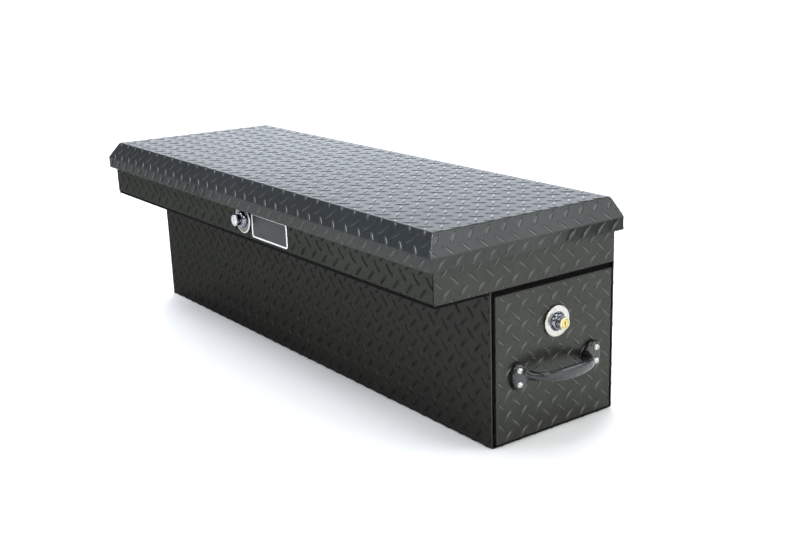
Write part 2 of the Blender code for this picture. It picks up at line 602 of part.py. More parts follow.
    # drawer lock
    base, out = (FACE_X, 0, DLOCK_Z), (1, 0, 0)
    turned("drawer_lock_escutcheon",
           [(PLATE_R - 1.0, 4.0), (PLATE_R, 3.2), (PLATE_R, 2.2), (BEZEL_R + GAP, 2.2), (BEZEL_R + GAP, 4.0)],
           base, out, STAINLESS, 40)
    turned("drawer_lock_barrel",
           [(BARREL_BORE + 0.8, 10.4), (12.9, 9.6), (14.2, 7.9), (15.2, 5.6), (BEZEL_R, 3.0), (BEZEL_R, 1.9), (22.0, 1.9), (22.0, GAP), (BARREL_R, GAP),
            (BARREL_R, -17.0), (BARREL_BORE, -17.0), (BARREL_BORE, 10.4)],
           base, out, ZINC, 32)
    hole = arc(0.0, DLOCK_Z, BARREL_R + 0.4, 0, 360, 28)[:-1]
    put("drawer_lock_nut", outline_mesh(arc(0.0, DLOCK_Z, 18.0, 0, 360, 6)[:-1], "YZ",
                                        FACE_X - T - GAP - 5.0, FACE_X - T - GAP, [hole]), ZINC)
    turned("drawer_lock_button",
           [(0.0, KNOB_OUT - 16.0), (CORE_R + GAP, KNOB_OUT - 16.0), (CORE_R + GAP, KNOB_OUT), (BUTTON_R - 1.2, KNOB_OUT),
            (BUTTON_R, KNOB_OUT - 1.4), (BUTTON_R, -14.0), (4.0, -14.0), (4.0, -43.0), (0.0, -43.0)],
           base, out, CHROME, 32)
    core = turned("drawer_lock_key_core",
                  [(0.0, KNOB_OUT + 0.3), (CORE_R - 0.5, KNOB_OUT + 0.3), (CORE_R, KNOB_OUT - 0.2), (CORE_R, KNOB_OUT - 15.7), (0.0, KNOB_OUT - 15.7)],
                  base, out, BRASS, 24)
    boolean(core, tool(box_mesh((FACE_X + KNOB_OUT - 6, -0.7, DLOCK_Z - 4.2), (FACE_X + KNOB_OUT + 2, 0.7, DLOCK_Z + 4.2))))

    # bolt that the drawer lock pulls down, its guide and the keeper on the hoop
    window = [(-5.2, DLOCK_Z - 14.6), (5.2, DLOCK_Z - 14.6), (5.2, DLOCK_Z + 15.0), (-5.2, DLOCK_Z + 15.0)]
    plate = [(-12, 168), (12, 168), (12, 240), (9, 250), (9, 263), (-9, 263), (-9, 250), (-12, 240)]
    put("drawer_latch_bolt", outline_mesh(plate, "YZ", 550, 555, [window]), ZINC)
    hat = [(587.6, 248.5), (587.6, 250), (556, 250), (556, 162), (587.6, 162), (587.6, 163.5), (557.5, 163.5), (557.5, 248.5)]
    guide = put("drawer_latch_guide", outline_mesh(hat, "XZ", -16.4, 16.4), ZINC)
    for sy in (-1, 1):
        ya, yb = sorted((sy * 14.5, sy * 16))
        boolean(guide, tool(box_mesh((545, ya, 163), (556.5, yb, 249))), "UNION")
    boolean(guide, tool(rod_mesh((550, 0, DLOCK_Z), (565, 0, DLOCK_Z), 5.0, 20)))
    put("drawer_keeper", box_mesh((555.8, -22, 257.8), (559.7, 22, 264.0)), ZINC)

    # three-member slides, front (-Y) and rear (+Y)
    z = SLIDE_Z
    for side, s in (("front", -1), ("rear", 1)):
        def chan(name, web, lip, hh, th, origin_x=0):
            w0, w1 = web
            pts = [(s * w1, z - hh), (s * w1, z + hh), (s * lip, z + hh), (s * lip, z + hh - th), (s * w0, z + hh - th),
                   (s * w0, z - hh + th), (s * lip, z - hh + th), (s * lip, z - hh)]
            if s > 0:
                pts = pts[::-1]
            return put(name, outline_mesh(pts, "YZ", SLIDE_X0, SLIDE_X1), ZINC)

        chan("slide_outer_" + side, (126.4, 134.2), 119.0, 21.5, 1.5)
        chan("slide_mid_" + side, (124.3, 125.8), 118.2, 19.2, 1.5)
        chan("slide_inner_" + side, (117.3, 122.6), 117.3, 15.8, 1.5)


lower_body()
upper_tub()
lid()
hinge()
struts()
lid_lock()
drawer()
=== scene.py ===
import math

import bmesh
import bpy
import numpy as np
from mathutils import Matrix, Vector

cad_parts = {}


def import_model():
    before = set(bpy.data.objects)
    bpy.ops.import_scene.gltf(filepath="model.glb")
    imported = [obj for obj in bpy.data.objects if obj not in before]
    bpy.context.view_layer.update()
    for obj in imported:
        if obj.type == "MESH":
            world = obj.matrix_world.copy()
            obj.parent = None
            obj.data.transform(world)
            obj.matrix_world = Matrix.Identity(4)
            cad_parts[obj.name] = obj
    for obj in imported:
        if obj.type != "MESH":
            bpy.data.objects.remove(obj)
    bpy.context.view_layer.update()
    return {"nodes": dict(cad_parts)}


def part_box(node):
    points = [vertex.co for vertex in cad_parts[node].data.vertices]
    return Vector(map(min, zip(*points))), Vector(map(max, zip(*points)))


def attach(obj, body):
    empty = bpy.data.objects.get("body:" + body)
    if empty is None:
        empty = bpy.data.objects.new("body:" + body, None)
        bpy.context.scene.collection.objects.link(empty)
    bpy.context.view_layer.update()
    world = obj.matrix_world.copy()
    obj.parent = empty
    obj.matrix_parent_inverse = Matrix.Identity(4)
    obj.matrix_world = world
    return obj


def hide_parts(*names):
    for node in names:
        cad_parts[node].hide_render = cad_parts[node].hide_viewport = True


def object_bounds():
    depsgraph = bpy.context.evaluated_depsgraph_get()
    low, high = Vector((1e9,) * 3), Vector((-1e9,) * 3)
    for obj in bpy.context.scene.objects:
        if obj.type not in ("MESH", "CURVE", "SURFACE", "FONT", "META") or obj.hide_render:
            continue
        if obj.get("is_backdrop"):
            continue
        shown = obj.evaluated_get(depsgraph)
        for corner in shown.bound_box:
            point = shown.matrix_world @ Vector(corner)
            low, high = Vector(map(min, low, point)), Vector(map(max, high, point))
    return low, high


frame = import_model()
NODES = frame["nodes"]
MM = 0.001


# ============================================================== shared numbers
LUG_L, LUG_W, LUG_H = 27.5, 6.6, 0.95    # tread lug, mm
SINK = 0.06                              # how far a lug's base sits in its sheet

lo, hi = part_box("lid_skin")
LID_X = hi.x * 1000.0
LID_YF, LID_YB = lo.y * 1000.0, hi.y * 1000.0
LID_TOP, LID_Z0 = hi.z * 1000.0, lo.z * 1000.0
lo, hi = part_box("tub_wrap")
TUB_YF, TUB_YB, SHELF_Z, RIM_Z = lo.y * 1000.0, hi.y * 1000.0, lo.z * 1000.0, hi.z * 1000.0
lo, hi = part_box("tub_end_right")
BODY_X = hi.x * 1000.0
lo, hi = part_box("lower_wrap")
LOW_Y, LOW_TOP, LOW_X0, LOW_X1 = hi.y * 1000.0, hi.z * 1000.0, lo.x * 1000.0, hi.x * 1000.0
lo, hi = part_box("drawer_front")
FACE_X, FACE_XB, FACE_Y, FACE_Z0, FACE_Z1 = hi.x * 1000.0, lo.x * 1000.0, hi.y * 1000.0, lo.z * 1000.0, hi.z * 1000.0


# =================================================================== materials
class Mat:
    """A node material built round one Principled shader."""

    def __init__(self, name, rough, metallic=0.0, ior=1.45, coat=0.0, coat_rough=0.1, spec=0.5, edge=1.0):
        self.m = bpy.data.materials.new(name)
        self.m.use_nodes = True
        self.t = self.m.node_tree
        self.b = self.t.nodes["Principled BSDF"]
        self.b.inputs["Metallic"].default_value = metallic
        self.b.inputs["Roughness"].default_value = rough
        self.b.inputs["IOR"].default_value = ior
        self.b.inputs["Specular IOR Level"].default_value = spec
        self.b.inputs["Coat Weight"].default_value = coat
        self.b.inputs["Coat Roughness"].default_value = coat_rough
        self.b.inputs["Specular Tint"].default_value = (edge, edge, edge, 1)
        self.co = self.t.nodes.new("ShaderNodeTexCoord").outputs["Object"]

    def node(self, kind, **props):
        n = self.t.nodes.new(kind)
        for k, v in props.items():
            setattr(n, k, v)
        return n

    def link(self, a, b):
        self.t.links.new(a, b)

    def mapped(self, scale=(1, 1, 1), rot=(0, 0, 0), loc=(0, 0, 0)):
        n = self.node("ShaderNodeMapping")
        n.inputs["Scale"].default_value = scale
        n.inputs["Rotation"].default_value = rot
        n.inputs["Location"].default_value = loc
        self.link(self.co, n.inputs["Vector"])
        return n.outputs["Vector"]

    def noise(self, scale, detail=3.0, rough=0.55, vec=None, distort=0.0):
        n = self.node("ShaderNodeTexNoise")
        n.inputs["Scale"].default_value = scale
        n.inputs["Detail"].default_value = detail
        n.inputs["Roughness"].default_value = rough
        n.inputs["Distortion"].default_value = distort
        self.link(vec or self.co, n.inputs["Vector"])
        return n.outputs["Fac"]

    def ramp(self, fac, stops):
        n = self.node("ShaderNodeValToRGB")
        r = n.color_ramp
        while len(r.elements) < len(stops):
            r.elements.new(0.5)
        for e, (p, c) in zip(r.elements, stops):
            e.position = p
            e.color = (c, c, c, 1) if isinstance(c, (int, float)) else (*c, 1)
        self.link(fac, n.inputs["Fac"])
        return n.outputs["Color"]

    def range(self, fac, a, b, lo=0.0, hi=1.0):
        n = self.node("ShaderNodeMapRange")
        n.inputs["From Min"].default_value = lo
        n.inputs["From Max"].default_value = hi
        n.inputs["To Min"].default_value = a
        n.inputs["To Max"].default_value = b
        self.link(fac, n.inputs["Value"])
        return n.outputs["Result"]

    def mix(self, fac, a, b, blend="MIX"):
        n = self.node("ShaderNodeMix", data_type="RGBA", blend_type=blend)
        if isinstance(fac, (int, float)):
            n.inputs[0].default_value = fac
        else:
            self.link(fac, n.inputs[0])
        for sock, v in ((n.inputs[6], a), (n.inputs[7], b)):
            if isinstance(v, tuple):
                sock.default_value = (*v, 1)
            else:
                self.link(v, sock)
        return n.outputs[2]

    def math(self, op, a, b=None):
        n = self.node("ShaderNodeMath", operation=op)
        for sock, v in ((n.inputs[0], a), (n.inputs[1], b)):
            if v is None:
                continue
            if isinstance(v, (int, float)):
                sock.default_value = v
            else:
                self.link(v, sock)
        return n.outputs[0]

    def attr(self, name):
        n = self.node("ShaderNodeAttribute")
        n.attribute_name = name
        return n.outputs["Fac"]

    def worn(self, lo=0.50, hi=0.60):
        """1 on convex edges, 0 elsewhere."""
        g = self.node("ShaderNodeNewGeometry")
        return self.range(g.outputs["Pointiness"], 0.0, 1.0, lo, hi)

    def bump(self, pairs):
        """pairs of (height output, strength, distance in metres)."""
        last = None
        for h, s, d in pairs:
            n = self.node("ShaderNodeBump")
            n.inputs["Strength"].default_value = s
            n.inputs["Distance"].default_value = d
            self.link(h, n.inputs["Height"])
            if last is not None:
                self.link(last, n.inputs["Normal"])
            last = n.outputs["Normal"]
        self.link(last, self.b.inputs["Normal"])

    def set(self, color=None, rough=None):
        if color is not None:
            self.link(color, self.b.inputs["Base Color"])
        if rough is not None:
            self.link(rough, self.b.inputs["Roughness"])
        return self.m


def coat_material(name, base, light, r0, r1, edge=0.5, metallic=0.75, grain=1.0, spec=0.0, rub=1.0):
    """Black coat on rolled aluminium: fine orange peel, faint dust, lug crests rubbed a little."""
    m = Mat(name, 0.35, metallic=metallic, ior=1.45, spec=spec, edge=edge)
    big = m.noise(5.0, 4.0, 0.6)
    mid = m.noise(60.0, 3.0, 0.6)
    fine = m.noise(1500.0, 2.0, 0.5)
    crest = m.attr("crest")
    c = m.mix(m.range(big, 0.0, 1.0, 0.30, 0.72), base, light)
    c = m.mix(m.range(mid, 0.0, 0.22, 0.35, 0.8), c, (light[0] * 1.5, light[1] * 1.5, light[2] * 1.45))
    c = m.mix(m.math("MULTIPLY", m.range(mid, 0.35, 1.0, 0.3, 0.75), m.math("MULTIPLY", crest, 0.35 * rub)), c, (0.20, 0.20, 0.20))
    c = m.mix(m.math("MULTIPLY", m.worn(0.53, 0.66), 0.2), c, (0.12, 0.12, 0.12))
    r = m.range(mid, r0, r1, 0.25, 0.8)
    r = m.math("SUBTRACT", r, m.math("MULTIPLY", crest, 0.03))
    r = m.math("ADD", r, m.range(fine, -0.03, 0.03, 0.3, 0.7))
    m.bump([(mid, 0.10 * grain, 0.0006), (fine, 0.16 * grain, 0.00010)])
    return m.set(c, r)


COAT = coat_material("black_powder_coat", (0.040, 0.0420, 0.0352), (0.051, 0.0530, 0.0450), 0.25, 0.35)
COAT_LID = coat_material("black_powder_coat_lid", (0.0385, 0.0395, 0.0375), (0.0495, 0.0505, 0.0480), 0.25, 0.35)
# painted highlight: the lugs take a slightly lighter, glossier copy of the coat so that they read brighter than the
# sheet
COAT_LUG_PAINTED_HIGHLIGHT = coat_material("black_powder_coat_on_lugs_painted_highlight", (0.0425, 0.0443, 0.0400), (0.0555, 0.0578, 0.0527), 0.17, 0.26, 0.48, 0.80, rub=0.8)
# painted shade: the lower body's coat is a much darker copy of the same coat, standing in for the shade under the tub's
# overhang
COAT_LOW_PAINTED_SHADE = coat_material("black_powder_coat_lower_body_painted_shade", (0.0135, 0.0143, 0.0106), (0.0180, 0.0190, 0.0142), 0.25, 0.35, 0.41)
# painted shade: the tub's wrap takes a darker copy of the coat, standing in for the shade under the lid's lip
COAT_TUB_PAINTED_SHADE = coat_material("black_powder_coat_tub_painted_shade", (0.0260, 0.0274, 0.0216), (0.0335, 0.0352, 0.0282), 0.25, 0.35, 0.44)
# painted shade: the lugs of the lower body and the tub take a much darker copy of the lug coat
COAT_LOW_LUG_PAINTED_SHADE = coat_material("black_powder_coat_on_lower_lugs_painted_shade", (0.0110, 0.0116, 0.0090), (0.0155, 0.0163, 0.0130), 0.16, 0.25, 0.42, 0.80, rub=0.25)
# painted highlight: the weld beads take a much lighter copy of the coat, so the mitres show a bright line
COAT_BEAD_PAINTED_HIGHLIGHT = coat_material("black_powder_coat_on_weld_painted_highlight", (0.10, 0.102, 0.105), (0.14, 0.142, 0.145), 0.16, 0.26, 0.6, 0.85)
COAT_PLAIN = coat_material("black_powder_coat_plain", (0.036, 0.037, 0.035), (0.048, 0.049, 0.047), 0.34, 0.46)


def rubber_material(name, base, grain):
    m = Mat(name, 0.8, ior=1.45, spec=0.06)
    big = m.noise(30.0, 3.0)
    fine = m.noise(grain, 3.0, 0.6)
    dust = m.range(m.noise(220.0, 4.0, 0.65), 0.0, 0.6, 0.52, 0.8)
    c = m.mix(m.range(big, 0.0, 1.0, 0.3, 0.7), base, tuple(x * 1.9 for x in base))
    c = m.mix(m.math("MULTIPLY", dust, 0.14), c, (0.035, 0.034, 0.031))
    m.bump([(fine, 0.35, 0.0002), (big, 0.2, 0.0006)])
    return m.set(c, m.range(fine, 0.66, 0.9, 0.3, 0.7))


RUBBER = rubber_material("black_seal_rubber", (0.0045, 0.0045, 0.0045), 1500.0)
FOAM = rubber_material("closed_cell_foam", (0.0025, 0.0025, 0.0025), 700.0)


def zinc_material():
    m = Mat("bright_zinc", 0.35, metallic=1.0)
    v = m.node("ShaderNodeTexVoronoi")
    v.inputs["Scale"].default_value = 260.0
    m.link(m.co, v.inputs["Vector"])
    cell = m.range(v.outputs["Color"], 0.0, 1.0)
    big = m.noise(25.0, 4.0, 0.6)
    c = m.mix(m.range(big, 0.0, 1.0, 0.3, 0.7), (0.50, 0.51, 0.52), (0.66, 0.67, 0.67))
    c = m.mix(m.math("MULTIPLY", cell, 0.25), c, (0.72, 0.72, 0.70))
    c = m.mix(m.math("MULTIPLY", m.range(m.noise(90.0, 5.0, 0.7), 0.0, 1.0, 0.58, 0.75), 0.35), c, (0.30, 0.29, 0.27))
    r = m.math("ADD", m.range(big, 0.26, 0.42, 0.3, 0.7), m.math("MULTIPLY", cell, 0.06))
    m.bump([(big, 0.1, 0.0005), (m.noise(900.0), 0.08, 0.0001)])
    return m.set(c, r)


ZINC = zinc_material()


def brushed_material(name, a, b, r0, r1, scale, metallic=1.0):
    """Sheet metal with the long fine marks of rolling."""
    m = Mat(name, 0.4, metallic=metallic)
    fine = m.noise(1.0, 4.0, 0.7, m.mapped(scale))
    big = m.noise(8.0, 4.0, 0.6)
    smear = m.noise(45.0, 4.0, 0.65)
    c = m.mix(m.range(fine, 0.0, 1.0, 0.3, 0.7), a, b)
    c = m.mix(m.math("MULTIPLY", m.range(smear, 0.0, 1.0, 0.5, 0.75), 0.30), c, tuple(x * 0.6 for x in a))
    r = m.math("ADD", m.range(big, r0, r1, 0.3, 0.7), m.range(fine, -0.05, 0.05, 0.3, 0.7))
    m.bump([(fine, 0.18, 0.00008), (big, 0.15, 0.002)])
    return m.set(c, r)


ALU = brushed_material("mill_aluminium", (0.50, 0.50, 0.50), (0.66, 0.66, 0.65), 0.34, 0.48, (14, 1500, 1500))


def turned_metal(name, a, b, r0, r1, ring=0.0, axis="X", stain=0.2, scale=400.0):
    """Metal turned about the piece's own axis, with fine rings."""
    m = Mat(name, 0.3, metallic=1.0)
    big = m.noise(70.0, 4.0, 0.6)
    fine = m.noise(1400.0, 3.0, 0.6)
    w = m.node("ShaderNodeTexWave", wave_type="RINGS", rings_direction=axis, wave_profile="SIN")
    w.inputs["Scale"].default_value = scale
    w.inputs["Distortion"].default_value = 1.2
    w.inputs["Detail"].default_value = 2.0
    w.inputs["Detail Scale"].default_value = 3.0
    m.link(m.co, w.inputs["Vector"])
    c = m.mix(m.range(w.outputs["Fac"], 0.0, 1.0), a, b)
    c = m.mix(m.math("MULTIPLY", m.range(big, 0.0, 1.0, 0.52, 0.75), stain), c, tuple(x * 0.5 for x in a))
    r = m.math("ADD", m.range(big, r0, r1, 0.3, 0.7), m.range(fine, -0.03, 0.03, 0.3, 0.7))
    m.bump([(w.outputs["Fac"], ring, 0.00005), (fine, 0.06, 0.00004)])
    return m.set(c, r)


def enamel_material(name, base, light, r0, r1, spec=0.5):
    m = Mat(name, 0.2, ior=1.5, spec=spec, coat=0.35, coat_rough=0.08)
    big = m.noise(30.0, 4.0, 0.6)
    fine = m.noise(900.0, 2.0)
    c = m.mix(m.range(big, 0.0, 1.0, 0.3, 0.7), base, light)
    c = m.mix(m.math("MULTIPLY", m.worn(0.52, 0.62), 0.35), c, (0.06, 0.06, 0.065))
    m.bump([(big, 0.10, 0.0006), (fine, 0.05, 0.00008)])
    return m.set(c, m.range(m.noise(120.0, 3.0), r0, r1, 0.3, 0.7))


PLATE_STEEL = turned_metal("lock_plate_steel", (0.47, 0.46, 0.415), (0.55, 0.54, 0.49), 0.20, 0.34, 0.18, "X", 0.16, 260.0)
# painted reflection: a darkened copy of the polished plate, standing in for the dark surroundings it mirrors
PLATE_PAINTED_DARK_REFLECTION = turned_metal("lock_plate_painted_dark_reflection", (0.085, 0.085, 0.082), (0.125, 0.125, 0.120), 0.14, 0.26, 0.10, "Y", 0.25, 260.0)
CHROME = turned_metal("bright_chrome", (0.50, 0.51, 0.54), (0.62, 0.63, 0.66), 0.05, 0.13, 0.06, "X", 0.35, 180.0)
# painted reflection: a much darker copy of the chrome, standing in for the dark surroundings the collar and button
# mirror
CHROME_PAINTED_DARK_REFLECTION = turned_metal("chrome_painted_dark_reflection", (0.20, 0.21, 0.24), (0.30, 0.31, 0.35), 0.05, 0.12, 0.04, "X", 0.30, 180.0)
SCREW = turned_metal("screw_nickel", (0.50, 0.50, 0.46), (0.62, 0.62, 0.57), 0.20, 0.34, 0.10, "X", 0.20, 220.0)
KEY_FACE = turned_metal("key_face_pale_brass", (0.66, 0.62, 0.42), (0.76, 0.72, 0.52), 0.25, 0.40, 0.15, "X", 0.25, 260.0)
BRASS = turned_metal("key_brass", (0.58, 0.44, 0.17), (0.70, 0.55, 0.24), 0.24, 0.38, 0.25, "X", 0.35, 260.0)
KEY_STEEL = turned_metal("key_steel", (0.46, 0.46, 0.47), (0.60, 0.60, 0.61), 0.18, 0.32, 0.20, "Y", 0.30, 260.0)
RIM_METAL = brushed_material("nameplate_rim", (0.62, 0.62, 0.61), (0.76, 0.76, 0.75), 0.24, 0.38, (30, 900, 900))
PLAQUE = brushed_material("nameplate_dark", (0.020, 0.020, 0.021), (0.036, 0.036, 0.037), 0.30, 0.44, (18, 900, 900))
ENAMEL = enamel_material("black_handle_enamel", (0.0075, 0.0080, 0.0092), (0.013, 0.0135, 0.015), 0.20, 0.32)
STRUT = enamel_material("black_strut_paint", (0.011, 0.011, 0.012), (0.018, 0.018, 0.019), 0.28, 0.42)


# ============================================================== small builders
def obj(name, bm_or_data, mat, body, origin=None, angle=35.0):
    """Wrap millimetre geometry as a smooth-shaded object that rides on a body."""
    me = bpy.data.meshes.new(name)
    if isinstance(bm_or_data, bmesh.types.BMesh):
        bmesh.ops.recalc_face_normals(bm_or_data, faces=bm_or_data.faces)
        bm_or_data.to_mesh(me)
        bm_or_data.free()
    else:
        me.from_pydata(bm_or_data[0], [], bm_or_data[1])
        me.update()
    o3 = Vector(origin or (0, 0, 0))
    me.transform(Matrix.Translation(-o3))
    me.transform(Matrix.Scale(MM, 4))
    me.materials.append(mat)
    me.shade_smooth()
    me.set_sharp_from_angle(angle=math.radians(angle))
    ob = bpy.data.objects.new(name, me)
    ob.location = o3 * MM
    bpy.context.scene.collection.objects.link(ob)
    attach(ob, body)
    return ob


def round_corners(points, radii, n=5, cyclic=True):
    """Replace corners of a 2D line by arcs of n steps."""
    out, k = [], len(points)
    for i, (p, r) in enumerate(zip(points, radii)):
        p = np.array(p, float)
        if r <= 0 or (not cyclic and i in (0, k - 1)):
            out.append(tuple(p))
            continue
        a = np.array(points[i - 1], float) - p
        b = np.array(points[(i + 1) % k], float) - p
        a, b = a / np.hypot(*a), b / np.hypot(*b)
        half = math.acos(max(-1, min(1, float(a @ b)))) / 2
        back = r / math.tan(half)
        c = p + (a + b) / np.hypot(*(a + b)) * (r / math.sin(half))
        s, e = p + a * back - c, p + b * back - c
        t0 = math.atan2(s[1], s[0])
        dt = (math.atan2(e[1], e[0]) - t0 + math.pi) % (2 * math.pi) - math.pi
        for j in range(n + 1):
            t = t0 + dt * j / n
            out.append((c[0] + r * math.cos(t), c[1] + r * math.sin(t)))
    return out


class Fold:
    """A sheet's outer line: distance along it to place and outward normal."""

    def __init__(self, pts, side):
        self.p = np.array(pts, float)
        seg = np.diff(self.p, axis=0)
        self.l = np.hypot(seg[:, 0], seg[:, 1])
        self.t = seg / self.l[:, None]
        self.n = np.stack([self.t[:, 1], -self.t[:, 0]], 1) * side
        self.d = np.concatenate([[0.0], np.cumsum(self.l)])

    def at(self, d):
        i = np.clip(np.searchsorted(self.d, d + 1e-3, side="right") - 1, 0, len(self.l) - 1)
        pos = self.p[i] + self.t[i] * (d - self.d[i])[:, None]
        nor = self.n[i].copy()
        on = (np.abs(d - self.d[i]) < 2e-3) & (i > 0)
        j = i[on]
        m = self.n[j] + self.n[j - 1]
        nor[on] = m / (0.5 * (m * m).sum(1))[:, None]
        return pos, nor


def lug_shape():
    """One lens-shaped lug along +x: vertices, faces and how near each is to the crest."""
    stations = (-0.45, -0.35, -0.18, 0.18, 0.35, 0.45)
    section = ((-1.0, None, 0.0), (-0.84, 0.50, 0.5), (-0.58, 0.88, 0.9), (0.0, 1.0, 1.0), (0.58, 0.88, 0.9), (0.84, 0.50, 0.5), (1.0, None, 0.0))
    m = len(section)
    v, c = [(-0.5 * LUG_L, 0.0, -SINK)], [0.0]
    for s in stations:
        q = 2.0 * s
        w = LUG_W / 2 * (1 - q * q) ** 0.80
        h = LUG_H * (1 - abs(q) ** 4.5)
        for y, z, k in section:
            v.append((s * LUG_L, y * w, -SINK if z is None else z * h))
            c.append(k)
    v.append((0.5 * LUG_L, 0.0, -SINK))
    c.append(0.0)
    f, last = [], len(v) - 1
    for i in range(len(stations) - 1):
        a, b = 1 + m * i, 1 + m * (i + 1)
        for k in range(m - 1):
            f.append((a + k, b + k, b + k + 1, a + k + 1))
        f.append((a + m - 1, b + m - 1, b, a))
    e = last - m
    for k in range(m - 1):
        f.append((0, 1 + k, 2 + k))
        f.append((last, e + k + 1, e + k))
    f.append((0, m, 1))
    f.append((last, e, e + m - 1))
    return np.array(v, float), [x[::-1] for x in f], np.array(c, float)


LUG_V, LUG_F, LUG_C = lug_shape()


def cut_short(v, crest, faces, middle, circle):
    """A lug without its part near a circle's middle, closed again."""
    out = np.array([middle[0] - circle[0], middle[1] - circle[1]])
    out /= np.hypot(*out)
    one = bmesh.new()
    layer = one.verts.layers.float.new("crest")
    vs = [one.verts.new(q) for q in v]
    for w, h in zip(vs, crest):
        w[layer] = float(h)
    for f in faces:
        one.faces.new([vs[x] for x in f])
    co = (circle[0] + out[0] * (circle[2] - 2.6), circle[1] + out[1] * (circle[2] - 2.6), 0)
    bmesh.ops.bisect_plane(one, geom=list(one.verts) + list(one.edges) + list(one.faces), dist=1e-4, plane_co=co, plane_no=(-out[0], -out[1], 0), clear_outer=True)
    rim = [e for e in one.edges if e.is_boundary]
    if rim:
        bmesh.ops.holes_fill(one, edges=rim, sides=0)
    one.verts.index_update()
    got = (np.array([q.co[:] for q in one.verts], float), [q[layer] for q in one.verts], [tuple(x.index for x in f.verts) for f in one.faces])
    one.free()
    return got


class Lugs:
    """Collects mapped lugs and turns them into one mesh."""

    def __init__(self):
        self.v, self.f, self.c, self.n = [], [], [], 0

    def add(self, v, faces, c):
        self.v.append(v)
        self.c.append(c)
        n = self.n
        self.f.extend([tuple(i + n for i in f) for f in faces])
        self.n += len(v)

    def patch(self, lattice, region, mapper, bends=(), avoid=()):
        """Lay the lattice (u0, v0, pitch u, pitch v, slash) over a convex region.

        region: (u, v) corners, counter-clockwise.  bends: values of v (or, with
        a leading "u", of u) where a lug is creased.  mapper: (u, v, h) -> xyz.
        avoid: circles (u, v, r) with no lugs whose middle is inside them; a lug
        that reaches into one is cut off short of it."""
        u0, v0, pu, pv, kind = lattice
        reg = np.array(region, float)
        edges = []
        for a, b in zip(reg, np.roll(reg, -1, axis=0)):
            t = (b - a) / np.hypot(*(b - a))
            edges.append((a, np.array([-t[1], t[0]])))
        lo, hi = reg.min(0) - 20, reg.max(0) + 20
        s2 = math.sqrt(0.5)
        axis, values = ("v", bends) if not bends or bends[0] != "u" else ("u", bends[1:])
        ai = 1 if axis == "v" else 0
        cut, cut_c = bmesh.new(), None
        layer = cut.verts.layers.float.new("crest")
        for fam in (0, 1):
            k = kind if fam == 0 else -kind
            rot = np.array([[s2, -s2 * k], [s2 * k, s2]])
            xy = LUG_V[:, :2] @ rot.T
            a0, b0 = u0 + fam * pu / 2, v0 + fam * pv / 2
            for i in range(math.ceil((lo[0] - a0) / pu), math.floor((hi[0] - a0) / pu) + 1):
                for j in range(math.ceil((lo[1] - b0) / pv), math.floor((hi[1] - b0) / pv) + 1):
                    c = np.array([a0 + i * pu, b0 + j * pv])
                    if any(math.hypot(c[0] - q[0], c[1] - q[1]) < q[2] for q in avoid):
                        continue
                    p = xy + c
                    dist = [((p - a) @ n) for a, n in edges]
                    if any(d.max() < 1.0 for d in dist):
                        continue
                    whole = all(d.min() >= -1e-6 for d in dist)
                    creased = any(p[:, ai].min() < x < p[:, ai].max() for x in values)
                    full = np.column_stack([p, LUG_V[:, 2]])
                    along = c + np.linspace(-LUG_L / 2, LUG_L / 2, 23)[:, None] * (np.array([s2, s2 * k]))
                    near = [q for q in avoid if np.hypot(along[:, 0] - q[0], along[:, 1] - q[1]).min() < q[2]]
                    if whole and not creased and not near:
                        self.add(mapper(full), LUG_F, LUG_C)
                        continue
                    lug_v, lug_c, lug_f = full, LUG_C, LUG_F
                    for q in near:
                        lug_v, lug_c, lug_f = cut_short(lug_v, lug_c, lug_f, c, q)
                    vs = [cut.verts.new(q) for q in lug_v]
                    for w, h in zip(vs, lug_c):
                        w[layer] = h
                    for f in lug_f:
                        cut.faces.new([vs[x] for x in f])
        if len(cut.verts):
            for a, n in edges:
                geom = list(cut.verts) + list(cut.edges) + list(cut.faces)
                bmesh.ops.bisect_plane(cut, geom=geom, dist=1e-4, plane_co=(a[0], a[1], 0), plane_no=(-n[0], -n[1], 0), clear_outer=True)
                rim = [e for e in cut.edges if e.is_boundary]
                if rim:
                    bmesh.ops.holes_fill(cut, edges=rim, sides=0)
            for x in values:
                geom = list(cut.verts) + list(cut.edges) + list(cut.faces)
                co = (x, 0, 0) if axis == "u" else (0, x, 0)
                no = (1, 0, 0) if axis == "u" else (0, 1, 0)
                bmesh.ops.bisect_plane(cut, geom=geom, dist=1e-4, plane_co=co, plane_no=no)
            bmesh.ops.recalc_face_normals(cut, faces=cut.faces)
            cut.verts.index_update()
            v = np.array([q.co[:] for q in cut.verts], float)
            if len(v):
                self.add(mapper(v), [tuple(q.index for q in f.verts) for f in cut.faces], np.array([q[layer] for q in cut.verts]))
        cut.free()

    def make(self, name, mat, body):
        v = np.concatenate(self.v)
        ob = obj(name, (v.tolist(), self.f), mat, body, angle=48.0)
        a = ob.data.attributes.new("crest", "FLOAT", "POINT")
        a.data.foreach_set("value", np.concatenate(self.c).astype(np.float32))
        bm = bmesh.new()
        bm.from_mesh(ob.data)
        bmesh.ops.recalc_face_normals(bm, faces=bm.faces)
        bm.to_mesh(ob.data)
        bm.free()
        return ob


# ======================================================================== lid
IN = LUG_H                                # the sheet lies this far inside the CAD skin
X1, YF1, YB1, TOP = LID_X - IN, LID_YF + IN, LID_YB - IN, LID_TOP - IN
Z_LIP, Z_CH = LID_Z0, 341.15
RUN_E = RUN_F = 20.95
RUN_B = 12.7
BEND_R = 3.0


def lid_line(run):
    """Run inward and height of the lid's outer line, from the top bend down to the lip."""
    pts = round_corners([(run + 30, TOP), (run, TOP), (0, Z_CH), (0, Z_LIP)], (0, BEND_R, BEND_R, 0), 4, cyclic=False)
    return pts[1:]


def rested(pts, gap=0.3, flat=4.0):
    """Add a point just beside each bend, so that smooth shading stays in the bend."""
    out = [pts[0]]
    for a, b in zip(pts, pts[1:]):
        a, b = np.array(a, float), np.array(b, float)
        long = np.hypot(*(b - a))
        if long > flat:
            out += [tuple(a + (b - a) * gap / long), tuple(b - (b - a) * gap / long)]
        out.append(tuple(b))
    return out


